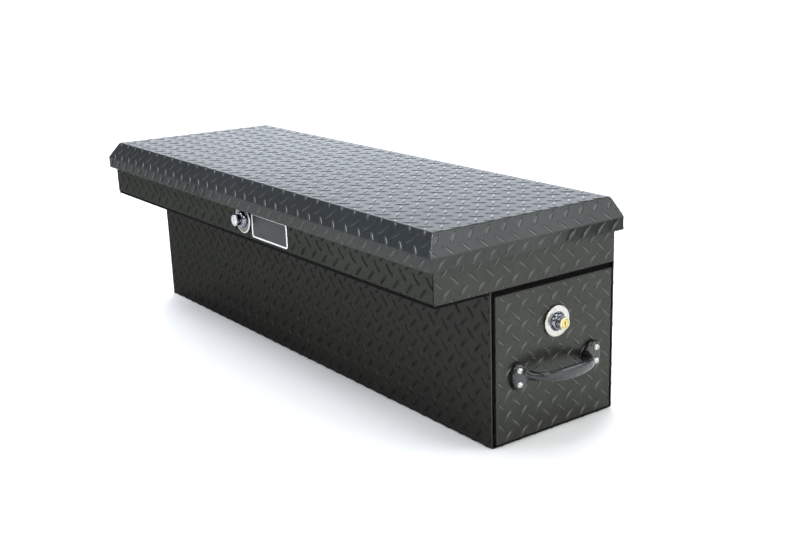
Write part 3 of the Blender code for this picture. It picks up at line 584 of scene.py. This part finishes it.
def lid_skin_mesh():
    """Rings of four mitred corners, the flat top, and lips that stop short of each other."""
    pts = round_corners([(RUN_F + 30, TOP), (RUN_F, TOP), (0, Z_CH), (0, Z_LIP)], (0, BEND_R, BEND_R, 0), 5, cyclic=False)
    line = rested(pts)[2:]
    back = RUN_B / RUN_F
    v, f = [], []
    split = len(line) - 3                       # from here down the lip is four separate flaps
    for r, z in line[:split + 1]:
        rb = r * back
        v += [(-X1 + r, YF1 + r, z), (X1 - r, YF1 + r, z), (X1 - r, YB1 - rb, z), (-X1 + r, YB1 - rb, z)]
    f.append((0, 1, 2, 3))
    for i in range(split):
        a, b = 4 * i, 4 * i + 4
        for k in range(4):
            m = (k + 1) % 4
            f.append((a + k, b + k, b + m, a + m))
    base, g = 4 * split, 0.65
    z0 = line[split][1]
    for k in range(4):
        m = (k + 1) % 4
        p, q = np.array(v[base + k]), np.array(v[base + m])
        t = (q - p) / np.linalg.norm(q - p)
        n = len(v)
        for z in (z0 - 0.7, z0 - 1.2, Z_LIP + 0.3, Z_LIP):
            for c in (p + t * g, q - t * g):
                v.append((float(c[0]), float(c[1]), z))
        f.append((base + k, n, n + 1, base + m))
        for j in range(3):
            f.append((n + 2 * j, n + 2 * j + 2, n + 2 * j + 3, n + 2 * j + 1))
    return v, f


v, f = lid_skin_mesh()
lid = obj("lid_sheet", (v, f), COAT_LID, "lid", angle=30.0)
bm = bmesh.new()
bm.from_mesh(lid.data)
bmesh.ops.recalc_face_normals(bm, faces=bm.faces)
if max(bm.faces, key=lambda q: q.calc_area()).normal.z < 0:
    bmesh.ops.reverse_faces(bm, faces=bm.faces)
bm.to_mesh(lid.data)
bm.free()
s = lid.modifiers.new("thickness", "SOLIDIFY")
s.thickness = 1.6 * MM
s.offset = -1.0
s.use_even_offset = True
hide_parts("lid_skin")

LID_LAT = (-567.0, -269.2, 37.37, 33.05, -1)     # blank coordinates: u along X, v over the front bend
U_T, V_F, V_B = X1 - RUN_E, YF1 + RUN_F, YB1 - RUN_B


def flap(run):
    """Path from the top bend down the flap, as (outward distance from the bend, height)."""
    return Fold([(run - r, z) for r, z in lid_line(run)], -1)


fold_f, fold_b = flap(RUN_F), flap(RUN_B)
bends_f = [round(x, 4) for x in fold_f.d[1:-1]]
bends_b = [round(x, 4) for x in fold_b.d[1:-1]]
lugs = Lugs()
d0f, d0b = -fold_f.p[0, 0], -fold_b.p[0, 0]


def flat_top(q):
    return np.column_stack([q[:, 0], q[:, 1], TOP + q[:, 2]])


lugs.patch(LID_LAT, [(-U_T + d0f, V_F + d0f), (U_T - d0f, V_F + d0f), (U_T - d0f, V_B - d0b), (-U_T + d0f, V_B - d0b)], flat_top)


def lay_flap(fold, across_lo, across_hi, run_lo, run_hi, mapper, lat):
    """Lugs on one flap; across_* is where the top's edge ends, run_* how far the flap widens."""
    chamfer_end = float(fold.d[-1] - (Z_CH - Z_LIP) + 1.0)
    end = float(fold.d[-1] - 0.5)
    m = 0.8
    a0, a1 = across_lo + m, across_hi - m
    b0, b1 = across_lo - run_lo + m, across_hi + run_hi - m
    reg = [(a1, 0.0), (b1, chamfer_end), (b1, end), (b0, end), (b0, chamfer_end), (a0, 0.0)]
    lugs.patch(lat, reg, mapper, bends=[float(x) for x in fold.d[1:-1]])


def map_front(q):
    p, n = fold_f.at(q[:, 1])
    out, z = p[:, 0] + n[:, 0] * q[:, 2], p[:, 1] + n[:, 1] * q[:, 2]
    return np.column_stack([q[:, 0], V_F - out, z])


def map_back(q):
    p, n = fold_b.at(q[:, 1])
    out, z = p[:, 0] + n[:, 0] * q[:, 2], p[:, 1] + n[:, 1] * q[:, 2]
    return np.column_stack([q[:, 0], V_B + out, z])


def map_end(sign):
    def go(q):
        p, n = fold_f.at(q[:, 1])
        out, z = p[:, 0] + n[:, 0] * q[:, 2], p[:, 1] + n[:, 1] * q[:, 2]
        return np.column_stack([sign * (U_T + out), q[:, 0], z])
    return go


u0, v0, pu, pv, kind = LID_LAT
# front flap: distance d = (V_F + d0) - v, so the slash turns over
lay_flap(fold_f, -U_T, U_T, RUN_E, RUN_E, map_front, (u0, (V_F + d0f) - v0, pu, pv, -kind))
# back flap: d = v - (V_B - d0)
lay_flap(fold_b, -U_T, U_T, RUN_E, RUN_E, map_back, (u0, v0 - (V_B - d0b), pu, pv, kind))
# end flaps: across is v, distance is |u| past the bend
lay_flap(fold_f, V_F, V_B, RUN_F, RUN_B, map_end(1), (v0, u0 - (U_T - d0f) - 3.8, pv, pu, kind))
lay_flap(fold_f, V_F, V_B, RUN_F, RUN_B, map_end(-1), (v0, -(U_T - d0f) - u0, pv, pu, -kind))
# the lid's lugs carry a painted highlight, a lighter copy of the coat
lid_lugs = lugs.make("lid_tread", COAT_LUG_PAINTED_HIGHLIGHT, "lid")

# weld beads down the mitres, from the top's bend to the lip, in a much lighter coat: a painted highlight along each
# mitre
line = lid_line(RUN_F)
for name, sx, sy in (("front_right", 1, -1), ("front_left", -1, -1), ("back_right", 1, 1), ("back_left", -1, 1)):
    ends = []
    for r, z in (line[3], line[6]):
        y = (YF1 + r) if sy < 0 else (YB1 - r * RUN_B / RUN_F)
        ends.append(Vector((sx * (X1 - r), y, z)))
    d = ends[1] - ends[0]
    out = Vector((sx, sy, 1.2)).normalized()
    out = (out - d.normalized() * out.dot(d.normalized())).normalized()
    across = d.normalized().cross(out)
    steps, sides = 44, 10
    bm = bmesh.new()
    rings = []
    for i in range(steps + 1):
        t = i / steps
        w = 1.25 + 0.13 * math.sin(i * 2.2) + 0.05 * math.sin(i * 0.7 + sx)
        w *= min(1.0, 0.35 + 6 * t, 0.35 + 6 * (1 - t))
        c = ends[0] + d * t - out * 0.55
        rings.append([bm.verts.new(c + (out * math.cos(2 * math.pi * j / sides) + across * 1.15 * math.sin(2 * math.pi * j / sides)) * w) for j in range(sides)])
    for p, q in zip(rings, rings[1:]):
        for j in range(sides):
            bm.faces.new((p[j], p[(j + 1) % sides], q[(j + 1) % sides], q[j]))
    bm.faces.new(rings[0])
    bm.faces.new(rings[-1])
    obj("lid_weld_" + name, bm, COAT_BEAD_PAINTED_HIGHLIGHT, "lid", angle=60)

# ================================================================ lower body
# folded front, floor and back; the floor lies a lug's height up so that the lugs stand on the ground
T = 2.0
outer = round_corners([(-LOW_Y, LOW_TOP), (-LOW_Y, IN), (LOW_Y, IN), (LOW_Y, LOW_TOP)], (0, 3.2, 3.2, 0), 6)
inner = round_corners([(LOW_Y - T, LOW_TOP), (LOW_Y - T, T + 0.15), (-LOW_Y + T, T + 0.15), (-LOW_Y + T, LOW_TOP)], (0, 1.4, 1.4, 0), 4)
loop = outer + inner
n = len(loop)
v = [(LOW_X0, y, z) for y, z in loop] + [(LOW_X1, y, z) for y, z in loop]
f = [(i, (i + 1) % n, n + (i + 1) % n, n + i) for i in range(n)]
k = len(outer)
bm = bmesh.new()
vs = [bm.verts.new(p) for p in v]
for q in f:
    bm.faces.new([vs[i] for i in q])
# end strips: join the outer and inner lines by quads, matched along the fold
for base in (0, n):
    A = [vs[base + i] for i in range(k)]
    B = [vs[base + n - 1 - i] for i in range(n - k)]
    i = j = 0
    while i < len(A) - 1 or j < len(B) - 1:
        fa = i / (len(A) - 1)
        fb = j / (len(B) - 1)
        if j >= len(B) - 1 or (i < len(A) - 1 and fa <= fb):
            bm.faces.new((A[i], A[i + 1], B[j]))
            i += 1
        else:
            bm.faces.new((A[i], B[j + 1], B[j]))
            j += 1
# the lower body's sheet takes the darkened coat: painted shade under the overhang
low = obj("lower_body_sheet", bm, COAT_LOW_PAINTED_SHADE, "box", angle=30.0)
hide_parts("lower_wrap")
low.data.materials.append(COAT)                   # the sheet's cut ends keep the plain coat; the rest of the sheet carries painted shade
for poly in low.data.polygons:
    if abs(poly.normal.x) > 0.9:
        poly.material_index = 1

LOW_LAT = (25.0, 1.6, 34.17, 36.53, -1)           # on the front: u along X, v up
fold_low = Fold(outer, 1)
if fold_low.n[0][0] > 0:
    fold_low = Fold(outer, -1)
lugs = Lugs()
top_gap = 0.6
H0 = LOW_TOP


def map_low(q):
    p, nn = fold_low.at(q[:, 1])
    return np.column_stack([q[:, 0], p[:, 0] + nn[:, 0] * q[:, 2], p[:, 1] + nn[:, 1] * q[:, 2]])


total = float(fold_low.d[-1])
reg = [(LOW_X0 + 0.6, total - top_gap), (LOW_X0 + 0.6, 1.0), (LOW_X1 - 0.3, 1.0), (LOW_X1 - 0.3, total - top_gap)]
# distance runs down the front, so v = LOW_TOP - d and the slash turns over
lugs.patch((LOW_LAT[0], H0 - LOW_LAT[1], LOW_LAT[2], LOW_LAT[3], 1), reg, map_low, bends=[float(x) for x in fold_low.d[1:-1]])
# these lugs carry painted shade, a darkened copy of the lug coat
lugs.make("lower_body_tread", COAT_LOW_LUG_PAINTED_SHADE, "box")


def plane_x(x, sign):
    return lambda q: np.column_stack([x + sign * q[:, 2], q[:, 0], q[:, 1]])


def plane_y(y, sign):
    return lambda q: np.column_stack([q[:, 0], y + sign * q[:, 2], q[:, 1]])


def plane_z(z, sign):
    return lambda q: np.column_stack([q[:, 0], q[:, 1], z + sign * q[:, 2]])


def rect(a0, a1, b0, b1):
    return [(a0, b0), (a1, b0), (a1, b1), (a0, b1)]


# closed end of the lower body
lugs = Lugs()
lugs.patch((-3.0, 20.0, 34.17, 36.53, 1), rect(-LOW_Y + 0.8, LOW_Y - 0.8, 1.2, LOW_TOP - 0.8), plane_x(-BODY_X, -1))
# these lugs carry painted shade, a darkened copy of the lug coat
lugs.make("lower_end_tread", COAT_LOW_LUG_PAINTED_SHADE, "box")

# ========================================================================= tub
TUB_LAT = (560.0, 279.0, 34.35, 36.5, 1)
lugs = Lugs()
R = 2.5
lock_lo, lock_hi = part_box("lid_lock_escutcheon")
LOCK = ((lock_lo + lock_hi) / 2) * 1000.0
lugs.patch(TUB_LAT, rect(-BODY_X + 2.8, BODY_X - 2.8, SHELF_Z + R, 341.0), plane_y(TUB_YF, -1), avoid=[(LOCK.x, LOCK.z, 14.0)])
lugs.patch((5.0, 281.0, 34.2, 36.5, -1), rect(-BODY_X + 2.8, BODY_X - 2.8, SHELF_Z + R, 341.0), plane_y(TUB_YB, 1))
lugs.patch((5.0, -210.0, 34.2, 36.5, -1), rect(-BODY_X + 24, BODY_X - 24, TUB_YF + 24, -LOW_Y - 1.0), plane_z(SHELF_Z, -1))
# the tub's lugs carry painted shade, a darkened copy of the lug coat
lugs.make("tub_wrap_tread", COAT_LOW_LUG_PAINTED_SHADE, "box")

for name, sign, v0 in (("right", 1, -221.5), ("left", -1, -216.0)):
    lugs = Lugs()
    lugs.patch((v0, 278.0, 34.25, 36.5, sign), rect(TUB_YF + 0.8, TUB_YB - 0.8, SHELF_Z + 0.8, 344.0), plane_x(sign * BODY_X, sign))
    # these lugs carry a painted highlight, a lighter copy of the coat
    lugs.make("tub_end_%s_tread" % name, COAT_LUG_PAINTED_HIGHLIGHT, "box")
    a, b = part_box("tub_end_" + name)
    a, b = a * 1000.0, b * 1000.0
    x0, x1 = (b.x - 0.75, b.x) if sign > 0 else (a.x, a.x + 0.75)
    bm = bmesh.new()
    bmesh.ops.create_cube(bm, size=1.0, matrix=Matrix.Translation(((x0 + x1) / 2, (a.y + b.y) / 2, (a.z + b.z) / 2)) @ Matrix.Diagonal((x1 - x0, b.y - a.y, b.z - a.z, 1.0)))
    bmesh.ops.bevel(bm, geom=list(bm.edges), offset=0.3, segments=2, affect="EDGES", profile=0.6)
    ob = obj("tub_end_%s_panel" % name, bm, COAT, "box", angle=50)
    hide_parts("tub_end_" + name)

# ================================================================ drawer face
lugs = Lugs()
lock_lo, lock_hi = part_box("drawer_lock_escutcheon")
DLOCK = ((lock_lo + lock_hi) / 2) * 1000.0
lugs.patch((-103.2, 234.6, 33.45, 36.49, 1), rect(-FACE_Y + 2.6, FACE_Y - 2.6, FACE_Z0 + 2.6, FACE_Z1 - 2.6), plane_x(FACE_X, 1),
           avoid=[(DLOCK.y, DLOCK.z, 14.0)])
# the drawer's lugs carry a painted highlight, a lighter copy of the coat
lugs.make("drawer_front_tread", COAT_LUG_PAINTED_HIGHLIGHT, "drawer")

# ============================================================ handle and locks
def cut(ob, *tools):
    """Take closed tool meshes (mm) out of a piece for good."""
    holders = []
    for i, bm in enumerate(tools):
        me = bpy.data.meshes.new("tool")
        bmesh.ops.recalc_face_normals(bm, faces=bm.faces)
        bm.to_mesh(me)
        bm.free()
        me.transform(Matrix.Scale(MM, 4))
        t = bpy.data.objects.new("tool", me)
        bpy.context.scene.collection.objects.link(t)
        m = ob.modifiers.new("cut%d" % i, "BOOLEAN")
        m.operation, m.solver, m.object = "DIFFERENCE", "EXACT", t
        holders.append(t)
    bpy.context.view_layer.update()
    me = bpy.data.meshes.new_from_object(ob.evaluated_get(bpy.context.evaluated_depsgraph_get()))
    ob.modifiers.clear()
    old = ob.data
    ob.data = me
    me.name = ob.name
    bpy.data.meshes.remove(old)
    for t in holders:
        me = t.data
        bpy.data.objects.remove(t, do_unlink=True)
        bpy.data.meshes.remove(me)
    ob.data.shade_smooth()
    ob.data.set_sharp_from_angle(angle=math.radians(32))
    return ob


def oriented(axis):
    """Matrix that takes +Z to the given world axis."""
    return Vector((0, 0, 1)).rotation_difference(Vector(axis)).to_matrix().to_4x4()


def lathe(profile, base, axis, steps=64):
    """Turn (radius, height) pairs about an axis through base; a profile that starts
    and ends on the axis closes there, any other is joined end to end."""
    bm = bmesh.new()
    rings = []
    for r, z in profile:
        if r < 1e-6:
            rings.append([bm.verts.new((0, 0, z))])
        else:
            rings.append([bm.verts.new((r * math.cos(2 * math.pi * i / steps), r * math.sin(2 * math.pi * i / steps), z)) for i in range(steps)])
    pairs = list(zip(rings, rings[1:]))
    if len(rings[0]) > 1 and len(rings[-1]) > 1:
        pairs.append((rings[-1], rings[0]))
    for a, b in pairs:
        for i in range(steps):
            j = (i + 1) % steps
            if len(a) == 1:
                bm.faces.new((a[0], b[i], b[j]))
            elif len(b) == 1:
                bm.faces.new((a[i], b[0], a[j]))
            else:
                bm.faces.new((a[i], b[i], b[j], a[j]))
    bm.transform(Matrix.Translation(base) @ oriented(axis))
    return bm


def slab(bm, lo, hi, m=None):
    """Add a closed box to a mesh under construction."""
    mid = [(a + b) / 2 for a, b in zip(lo, hi)]
    size = [b - a for a, b in zip(lo, hi)]
    t = Matrix.Translation(mid) @ Matrix.Diagonal((*size, 1.0))
    return bmesh.ops.create_cube(bm, size=1.0, matrix=(m or Matrix()) @ t)["verts"]


src = NODES["drawer_handle"].data.copy()
src.name = "drawer_pull"
src.materials.clear()
src.materials.append(ENAMEL)
pull = bpy.data.objects.new("drawer_pull", src)
bpy.context.scene.collection.objects.link(pull)
r = pull.modifiers.new("skin", "REMESH")
r.mode, r.voxel_size, r.use_smooth_shade = "VOXEL", 1.15 * MM, True
r = pull.modifiers.new("fillets", "SMOOTH")
r.factor, r.iterations = 0.5, 9
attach(pull, "drawer")
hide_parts("drawer_handle")

for i in range(1, 5):
    name = "handle_screw_%d" % i
    a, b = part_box(name)
    c = (a + b) / 2 * 1000.0
    top = b.x * 1000.0
    base = (top - 4.2, c.y, c.z)
    dome = [(0.0, 4.15), (1.2, 4.08), (2.4, 3.82), (3.6, 3.3), (4.7, 2.5), (5.5, 1.5), (5.9, 0.7), (6.0, 0.0), (2.4, 0.0), (2.4, -13.5), (2.1, -14.0), (0.0, -14.0)]
    ob = obj("pan_head_screw_%d" % i, lathe(dome, base, (1, 0, 0), 36), SCREW, "drawer")
    m = Matrix.Translation((top, c.y, c.z)) @ Matrix.Rotation(math.radians(20 + 37 * i), 4, "X")
    cross = bmesh.new()
    slab(cross, (-1.5, -2.3, -0.42), (1.0, 2.3, 0.42), m)
    other = bmesh.new()
    slab(other, (-1.5, -0.42, -2.3), (1.0, 0.42, 2.3), m)
    cut(ob, cross, other)
    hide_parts(name)


def lock(prefix, base, axis, side, bodies, finishes_and_painted_reflection, up=(0, 0, 1)):
    """Plate, domed collar, push button and key core of one lock."""
    field, button_face, core = finishes_and_painted_reflection
    body, button, key = bodies
    base = Vector(base)
    axis = Vector(axis)
    plate = lathe([(16.1, 2.2), (16.1, 3.5), (16.6, 3.95), (17.4, 4.0), (24.6, 4.0), (25.6, 3.85), (26.4, 3.45), (26.85, 2.9), (27.0, 2.35), (26.9, 2.2)], base, axis, 96)
    ob = obj(prefix + "_plate", plate, PLATE_STEEL, body, angle=40)
    ticks = []
    for off, z, turn, wide, long in ((-5.8, 20.6, 24.0, 0.9, 4.6), (1.0, -20.8, 28.0, 1.1, 5.4)):
        p = base + Vector(side) * off + Vector(up) * z
        bm = bmesh.new()
        m = Matrix.Translation(p) @ Matrix.Rotation(math.radians(turn), 4, axis)
        s, u = Vector(side), Vector(up)
        lo = Vector([-abs(s[k]) * wide / 2 - abs(u[k]) * long / 2 + min(axis[k] * 3.3, axis[k] * 6) for k in range(3)])
        hi = Vector([abs(s[k]) * wide / 2 + abs(u[k]) * long / 2 + max(axis[k] * 3.3, axis[k] * 6) for k in range(3)])
        slab(bm, lo, hi, m)
        ticks.append(bm)
    cut(ob, *ticks)
    # the plate's middle takes the field material; on the lid lock that is the darkened plate, a painted dark reflection
    ob.data.materials.append(field)
    for p in ob.data.polygons:
        c = p.center * 1000.0 - base
        if (c - axis * c.dot(axis)).length < 24.7:
            p.material_index = 1
    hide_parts(prefix + "_escutcheon")

    collar = lathe([(11.0, 9.9), (11.15, 10.25), (11.6, 10.4), (12.4, 10.15), (13.2, 9.5), (14.0, 8.4), (14.7, 7.0), (15.3, 5.4), (15.65, 3.9),
                    (15.8, 2.6), (15.8, 1.9), (22.0, 1.9), (22.0, 0.35), (12.4, 0.35), (12.4, -17.0), (11.0, -17.0)], base, axis, 72)
    # the collar takes the darkened chrome: a painted dark reflection
    ob = obj(prefix + "_collar", collar, CHROME_PAINTED_DARK_REFLECTION, body, angle=40)
    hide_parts(prefix + "_barrel")

    knob = lathe([(0.0, 5.45), (7.9, 5.45), (7.9, 20.9), (8.15, 21.3), (8.6, 21.4), (9.3, 21.4), (9.95, 21.2), (10.4, 20.7), (10.6, 20.0), (10.6, 18.9),
                  (10.35, 18.6), (10.35, 18.2), (10.6, 17.9), (10.6, -13.6), (10.2, -14.0), (4.0, -14.0), (4.0, -30.0 if body == "box" else -42.0), (0.0, -30.4 if body == "box" else -42.4)],
                 base, axis, 72)
    # the button's side takes the darkened chrome: a painted dark reflection
    ob = obj(prefix + "_push_button", knob, CHROME_PAINTED_DARK_REFLECTION, button, angle=32)
    ob.data.materials.append(button_face)
    d0 = base.dot(axis)
    for p in ob.data.polygons:
        h = (p.center * 1000.0).dot(axis) - d0
        if h > 19.2:
            p.material_index = 1
    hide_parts(prefix + "_button")

    face = lathe([(0.0, 21.3), (3.2, 21.3), (3.35, 21.15), (3.6, 21.15), (3.75, 21.3), (6.4, 21.4), (6.9, 21.35), (7.3, 21.1), (7.55, 20.6), (7.6, 19.5), (7.6, 5.8), (0.0, 5.8)], base, axis, 64)
    ob = obj(prefix + "_key_face", face, core, key, angle=40)
    s, u = Vector(side), Vector(up)
    slots = []
    for wide, long, lift in ((1.3, 8.4, 0.0), (2.6, 1.5, 1.6)):
        bm = bmesh.new()
        lo = Vector([-abs(s[k]) * wide / 2 - abs(u[k]) * long / 2 + min(axis[k] * 15, axis[k] * 24) for k in range(3)])
        hi = Vector([abs(s[k]) * wide / 2 + abs(u[k]) * long / 2 + max(axis[k] * 15, axis[k] * 24) for k in range(3)])
        slab(bm, lo, hi, Matrix.Translation(base + u * lift))
        slots.append(bm)
    cut(ob, *slots)
    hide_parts(prefix + "_key_core")


lock("drawer_lock", (FACE_X, DLOCK.y, DLOCK.z), (1, 0, 0), (0, 1, 0), ("drawer", "drawer_button", "drawer_key"), (PLATE_STEEL, KEY_FACE, BRASS))
# the lid lock's plate middle is darkened: a painted dark reflection
lock("lid_lock", (LOCK.x, TUB_YF, LOCK.z), (0, -1, 0), (1, 0, 0), ("box", "lid_button", "lid_key"), (PLATE_PAINTED_DARK_REFLECTION, KEY_STEEL, KEY_STEEL))

# nameplate: a dark field inside a raised bright rim
a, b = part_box("nameplate")
a, b = a * 1000.0, b * 1000.0


def rounded_rect(x0, x1, z0, z1, r, n=6):
    return round_corners([(x0, z0), (x1, z0), (x1, z1), (x0, z1)], (r, r, r, r), n)


rings = [(0.0, 6.0, b.y), (0.0, 6.0, a.y + 0.5), (0.35, 5.7, a.y + 0.08), (0.9, 5.2, a.y), (2.6, 3.8, a.y), (3.1, 3.3, a.y + 0.12), (3.4, 3.0, a.y + 0.7)]
bm = bmesh.new()
loops = [[bm.verts.new((x, y, z)) for x, z in rounded_rect(a.x + i, b.x - i, a.z + i, b.z - i, r)] for i, r, y in rings]
n = len(loops[0])
for p, q in zip(loops, loops[1:]):
    for i in range(n):
        bm.faces.new((p[i], p[(i + 1) % n], q[(i + 1) % n], q[i]))
bm.faces.new(loops[0])
inner = bm.faces.new(loops[-1])
ob = obj("nameplate_blank", bm, RIM_METAL, "box", angle=40)
ob.data.materials.append(PLAQUE)
for p in ob.data.polygons:
    if p.area > 0.002 and p.center.y < (a.y + 0.9) * MM and len(p.vertices) > 8:
        p.material_index = 1
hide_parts("nameplate")

# ======================================================= materials on CAD nodes
def paint(mat, *names):
    for nm in names:
        me = NODES[nm].data
        if len(me.materials) == 0:
            me.materials.append(mat)
        for i in range(len(me.materials)):
            me.materials[i] = mat


paint(COAT, "drawer_front")
# painted shade: the tub's wrap takes the darkened tub coat
paint(COAT_TUB_PAINTED_SHADE, "tub_wrap")
# painted shade: the closed end of the lower body takes the darkened lower-body coat
paint(COAT_LOW_PAINTED_SHADE, "lower_end_panel")
paint(COAT_PLAIN, "hinge_leaf_tub", "hinge_leaf_lid")
paint(ALU, "lid_liner", "drawer_tray", "opening_frame")
paint(RUBBER, "lid_seal", "drawer_seal")
paint(FOAM, "rail_gasket")
paint(ZINC, "hinge_pin", "strut_bracket_tub_left", "strut_bracket_tub_right", "strut_bracket_lid_left", "strut_bracket_lid_right",
      "lid_lock_nut", "latch_bracket", "latch_pivot_pin", "latch_hook", "lid_striker", "drawer_keeper",
      "drawer_latch_bolt", "drawer_latch_guide", "drawer_lock_nut",
      "slide_outer_front", "slide_outer_rear", "slide_mid_front", "slide_mid_rear", "slide_inner_front", "slide_inner_rear")
paint(CHROME, "strut_rod_left", "strut_rod_right")
paint(STRUT, "strut_cylinder_left", "strut_cylinder_right")

# =============================================================== floor, lights
SKY_BASE = 0.04
SKY = (
    ((0.0, 0.0, -1.0), 95, 106, (1.0, 1.0, 1.0), 1.0),           # pale band on the horizon, all the way round
    ((-0.744, 0.581, 0.330), 10, 33, (0.92, 1.0, 1.13), 5.2),     # low behind and left: mirrored by the lid's top
    ((-0.757, -0.511, 0.407), 8, 30, (0.74, 1.0, 1.38), 0.55),   # left: front slope of the lid
    ((-0.959, -0.118, 0.259), 8, 30, (0.96, 1.0, 1.04), 0.35),   # far left
    ((0.963, 0.170, 0.208), 8, 30, (1.01, 1.01, 0.96), 1.4),      # low right: the drawer end
    ((0.576, 0.596, 0.559), 8, 28, (0.95, 1.0, 1.06), 3.1),      # behind and right: end slope of the lid
    ((0.0, -0.03, 1.0), 6, 20, (1.0, 1.0, 1.03), 5.6),           # overhead: lugs of the lid's slopes
    ((-0.375, -0.350, 0.858), 6, 19, (0.96, 1.0, 1.07), 7.6),    # high in front, left: lugs of the front slope
    ((0.740, -0.270, 0.616), 5, 17, (1.0, 1.0, 0.98), 5.6),       # right: lugs of the upright ends
    ((0.045, -0.800, 0.600), 5, 16, (0.97, 1.0, 1.03), 4.6),      # in front: lugs of the front
    ((-0.586, 0.458, 0.669), 8, 30, (0.95, 1.0, 1.08), 2.2),     # higher behind: softens the lid's lugs
)
bm = bmesh.new()
bmesh.ops.create_grid(bm, x_segments=2, y_segments=2, size=40.0)
me = bpy.data.meshes.new("floor")
bm.to_mesh(me)
bm.free()
floor = bpy.data.objects.new("floor", me)
bpy.context.scene.collection.objects.link(floor)
fm = Mat("pale_floor", 0.9, spec=0.1)
fm.b.inputs["Base Color"].default_value = (0.93, 0.925, 0.915, 1)
me.materials.append(fm.m)
floor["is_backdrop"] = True

world = bpy.data.worlds.new("studio")
bpy.context.scene.world = world
world.use_nodes = True
wt = world.node_tree
bg = wt.nodes["Background"]
bg.inputs["Strength"].default_value = 1.0
look = wt.nodes.new("ShaderNodeTexCoord").outputs["Generated"]


def sky(total, direction, inner, outer, color, strength):
    """Add a soft bright panel of the studio: full inside 'inner' degrees, gone at 'outer'."""
    d = Vector(direction).normalized()
    dot = wt.nodes.new("ShaderNodeVectorMath")
    dot.operation = "DOT_PRODUCT"
    dot.inputs[1].default_value = d
    wt.links.new(look, dot.inputs[0])
    r = wt.nodes.new("ShaderNodeMapRange")
    r.interpolation_type = "SMOOTHSTEP"
    r.inputs["From Min"].default_value = math.cos(math.radians(outer))
    r.inputs["From Max"].default_value = math.cos(math.radians(inner))
    wt.links.new(dot.outputs["Value"], r.inputs["Value"])
    s = wt.nodes.new("ShaderNodeVectorMath")
    s.operation = "SCALE"
    s.inputs[0].default_value = tuple(c * strength for c in color)
    wt.links.new(r.outputs["Result"], s.inputs["Scale"])
    if total is None:
        return s.outputs["Vector"]
    add = wt.nodes.new("ShaderNodeVectorMath")
    add.operation = "ADD"
    wt.links.new(total, add.inputs[0])
    wt.links.new(s.outputs["Vector"], add.inputs[1])
    return add.outputs["Vector"]


light = sky(None, (0, 0, 1), 178, 181, (0.95, 0.97, 1.0), SKY_BASE)
for lobe in SKY:
    light = sky(light, *lobe)
wt.links.new(light, bg.inputs["Color"])

# ====================================================================== camera
cam = bpy.data.cameras.new("camera")
cam.sensor_width = 36.0
cam.sensor_fit = "HORIZONTAL"
cam.lens = 1126.79 / 795.0 * 36.0
cam.shift_x = -55.105 / 795.0
cam.shift_y = 24.242 / 795.0
cam.clip_start, cam.clip_end = 0.05, 200.0
co = bpy.data.objects.new("camera", cam)
bpy.context.scene.collection.objects.link(co)
r2, u2, fw = (0.62106648, 0.78350411, -0.01994346), (-0.21455169, 0.19443424, 0.95716399), (-0.75381961, 0.59018356, -0.28885872)
C = (1.85688551, -1.20443377, 0.76861165)
co.matrix_world = Matrix(((r2[0], u2[0], -fw[0], C[0]), (r2[1], u2[1], -fw[1], C[1]), (r2[2], u2[2], -fw[2], C[2]), (0, 0, 0, 1)))
bpy.context.scene.camera = co
bpy.context.scene.view_settings.view_transform = "Standard"

lo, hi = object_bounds()
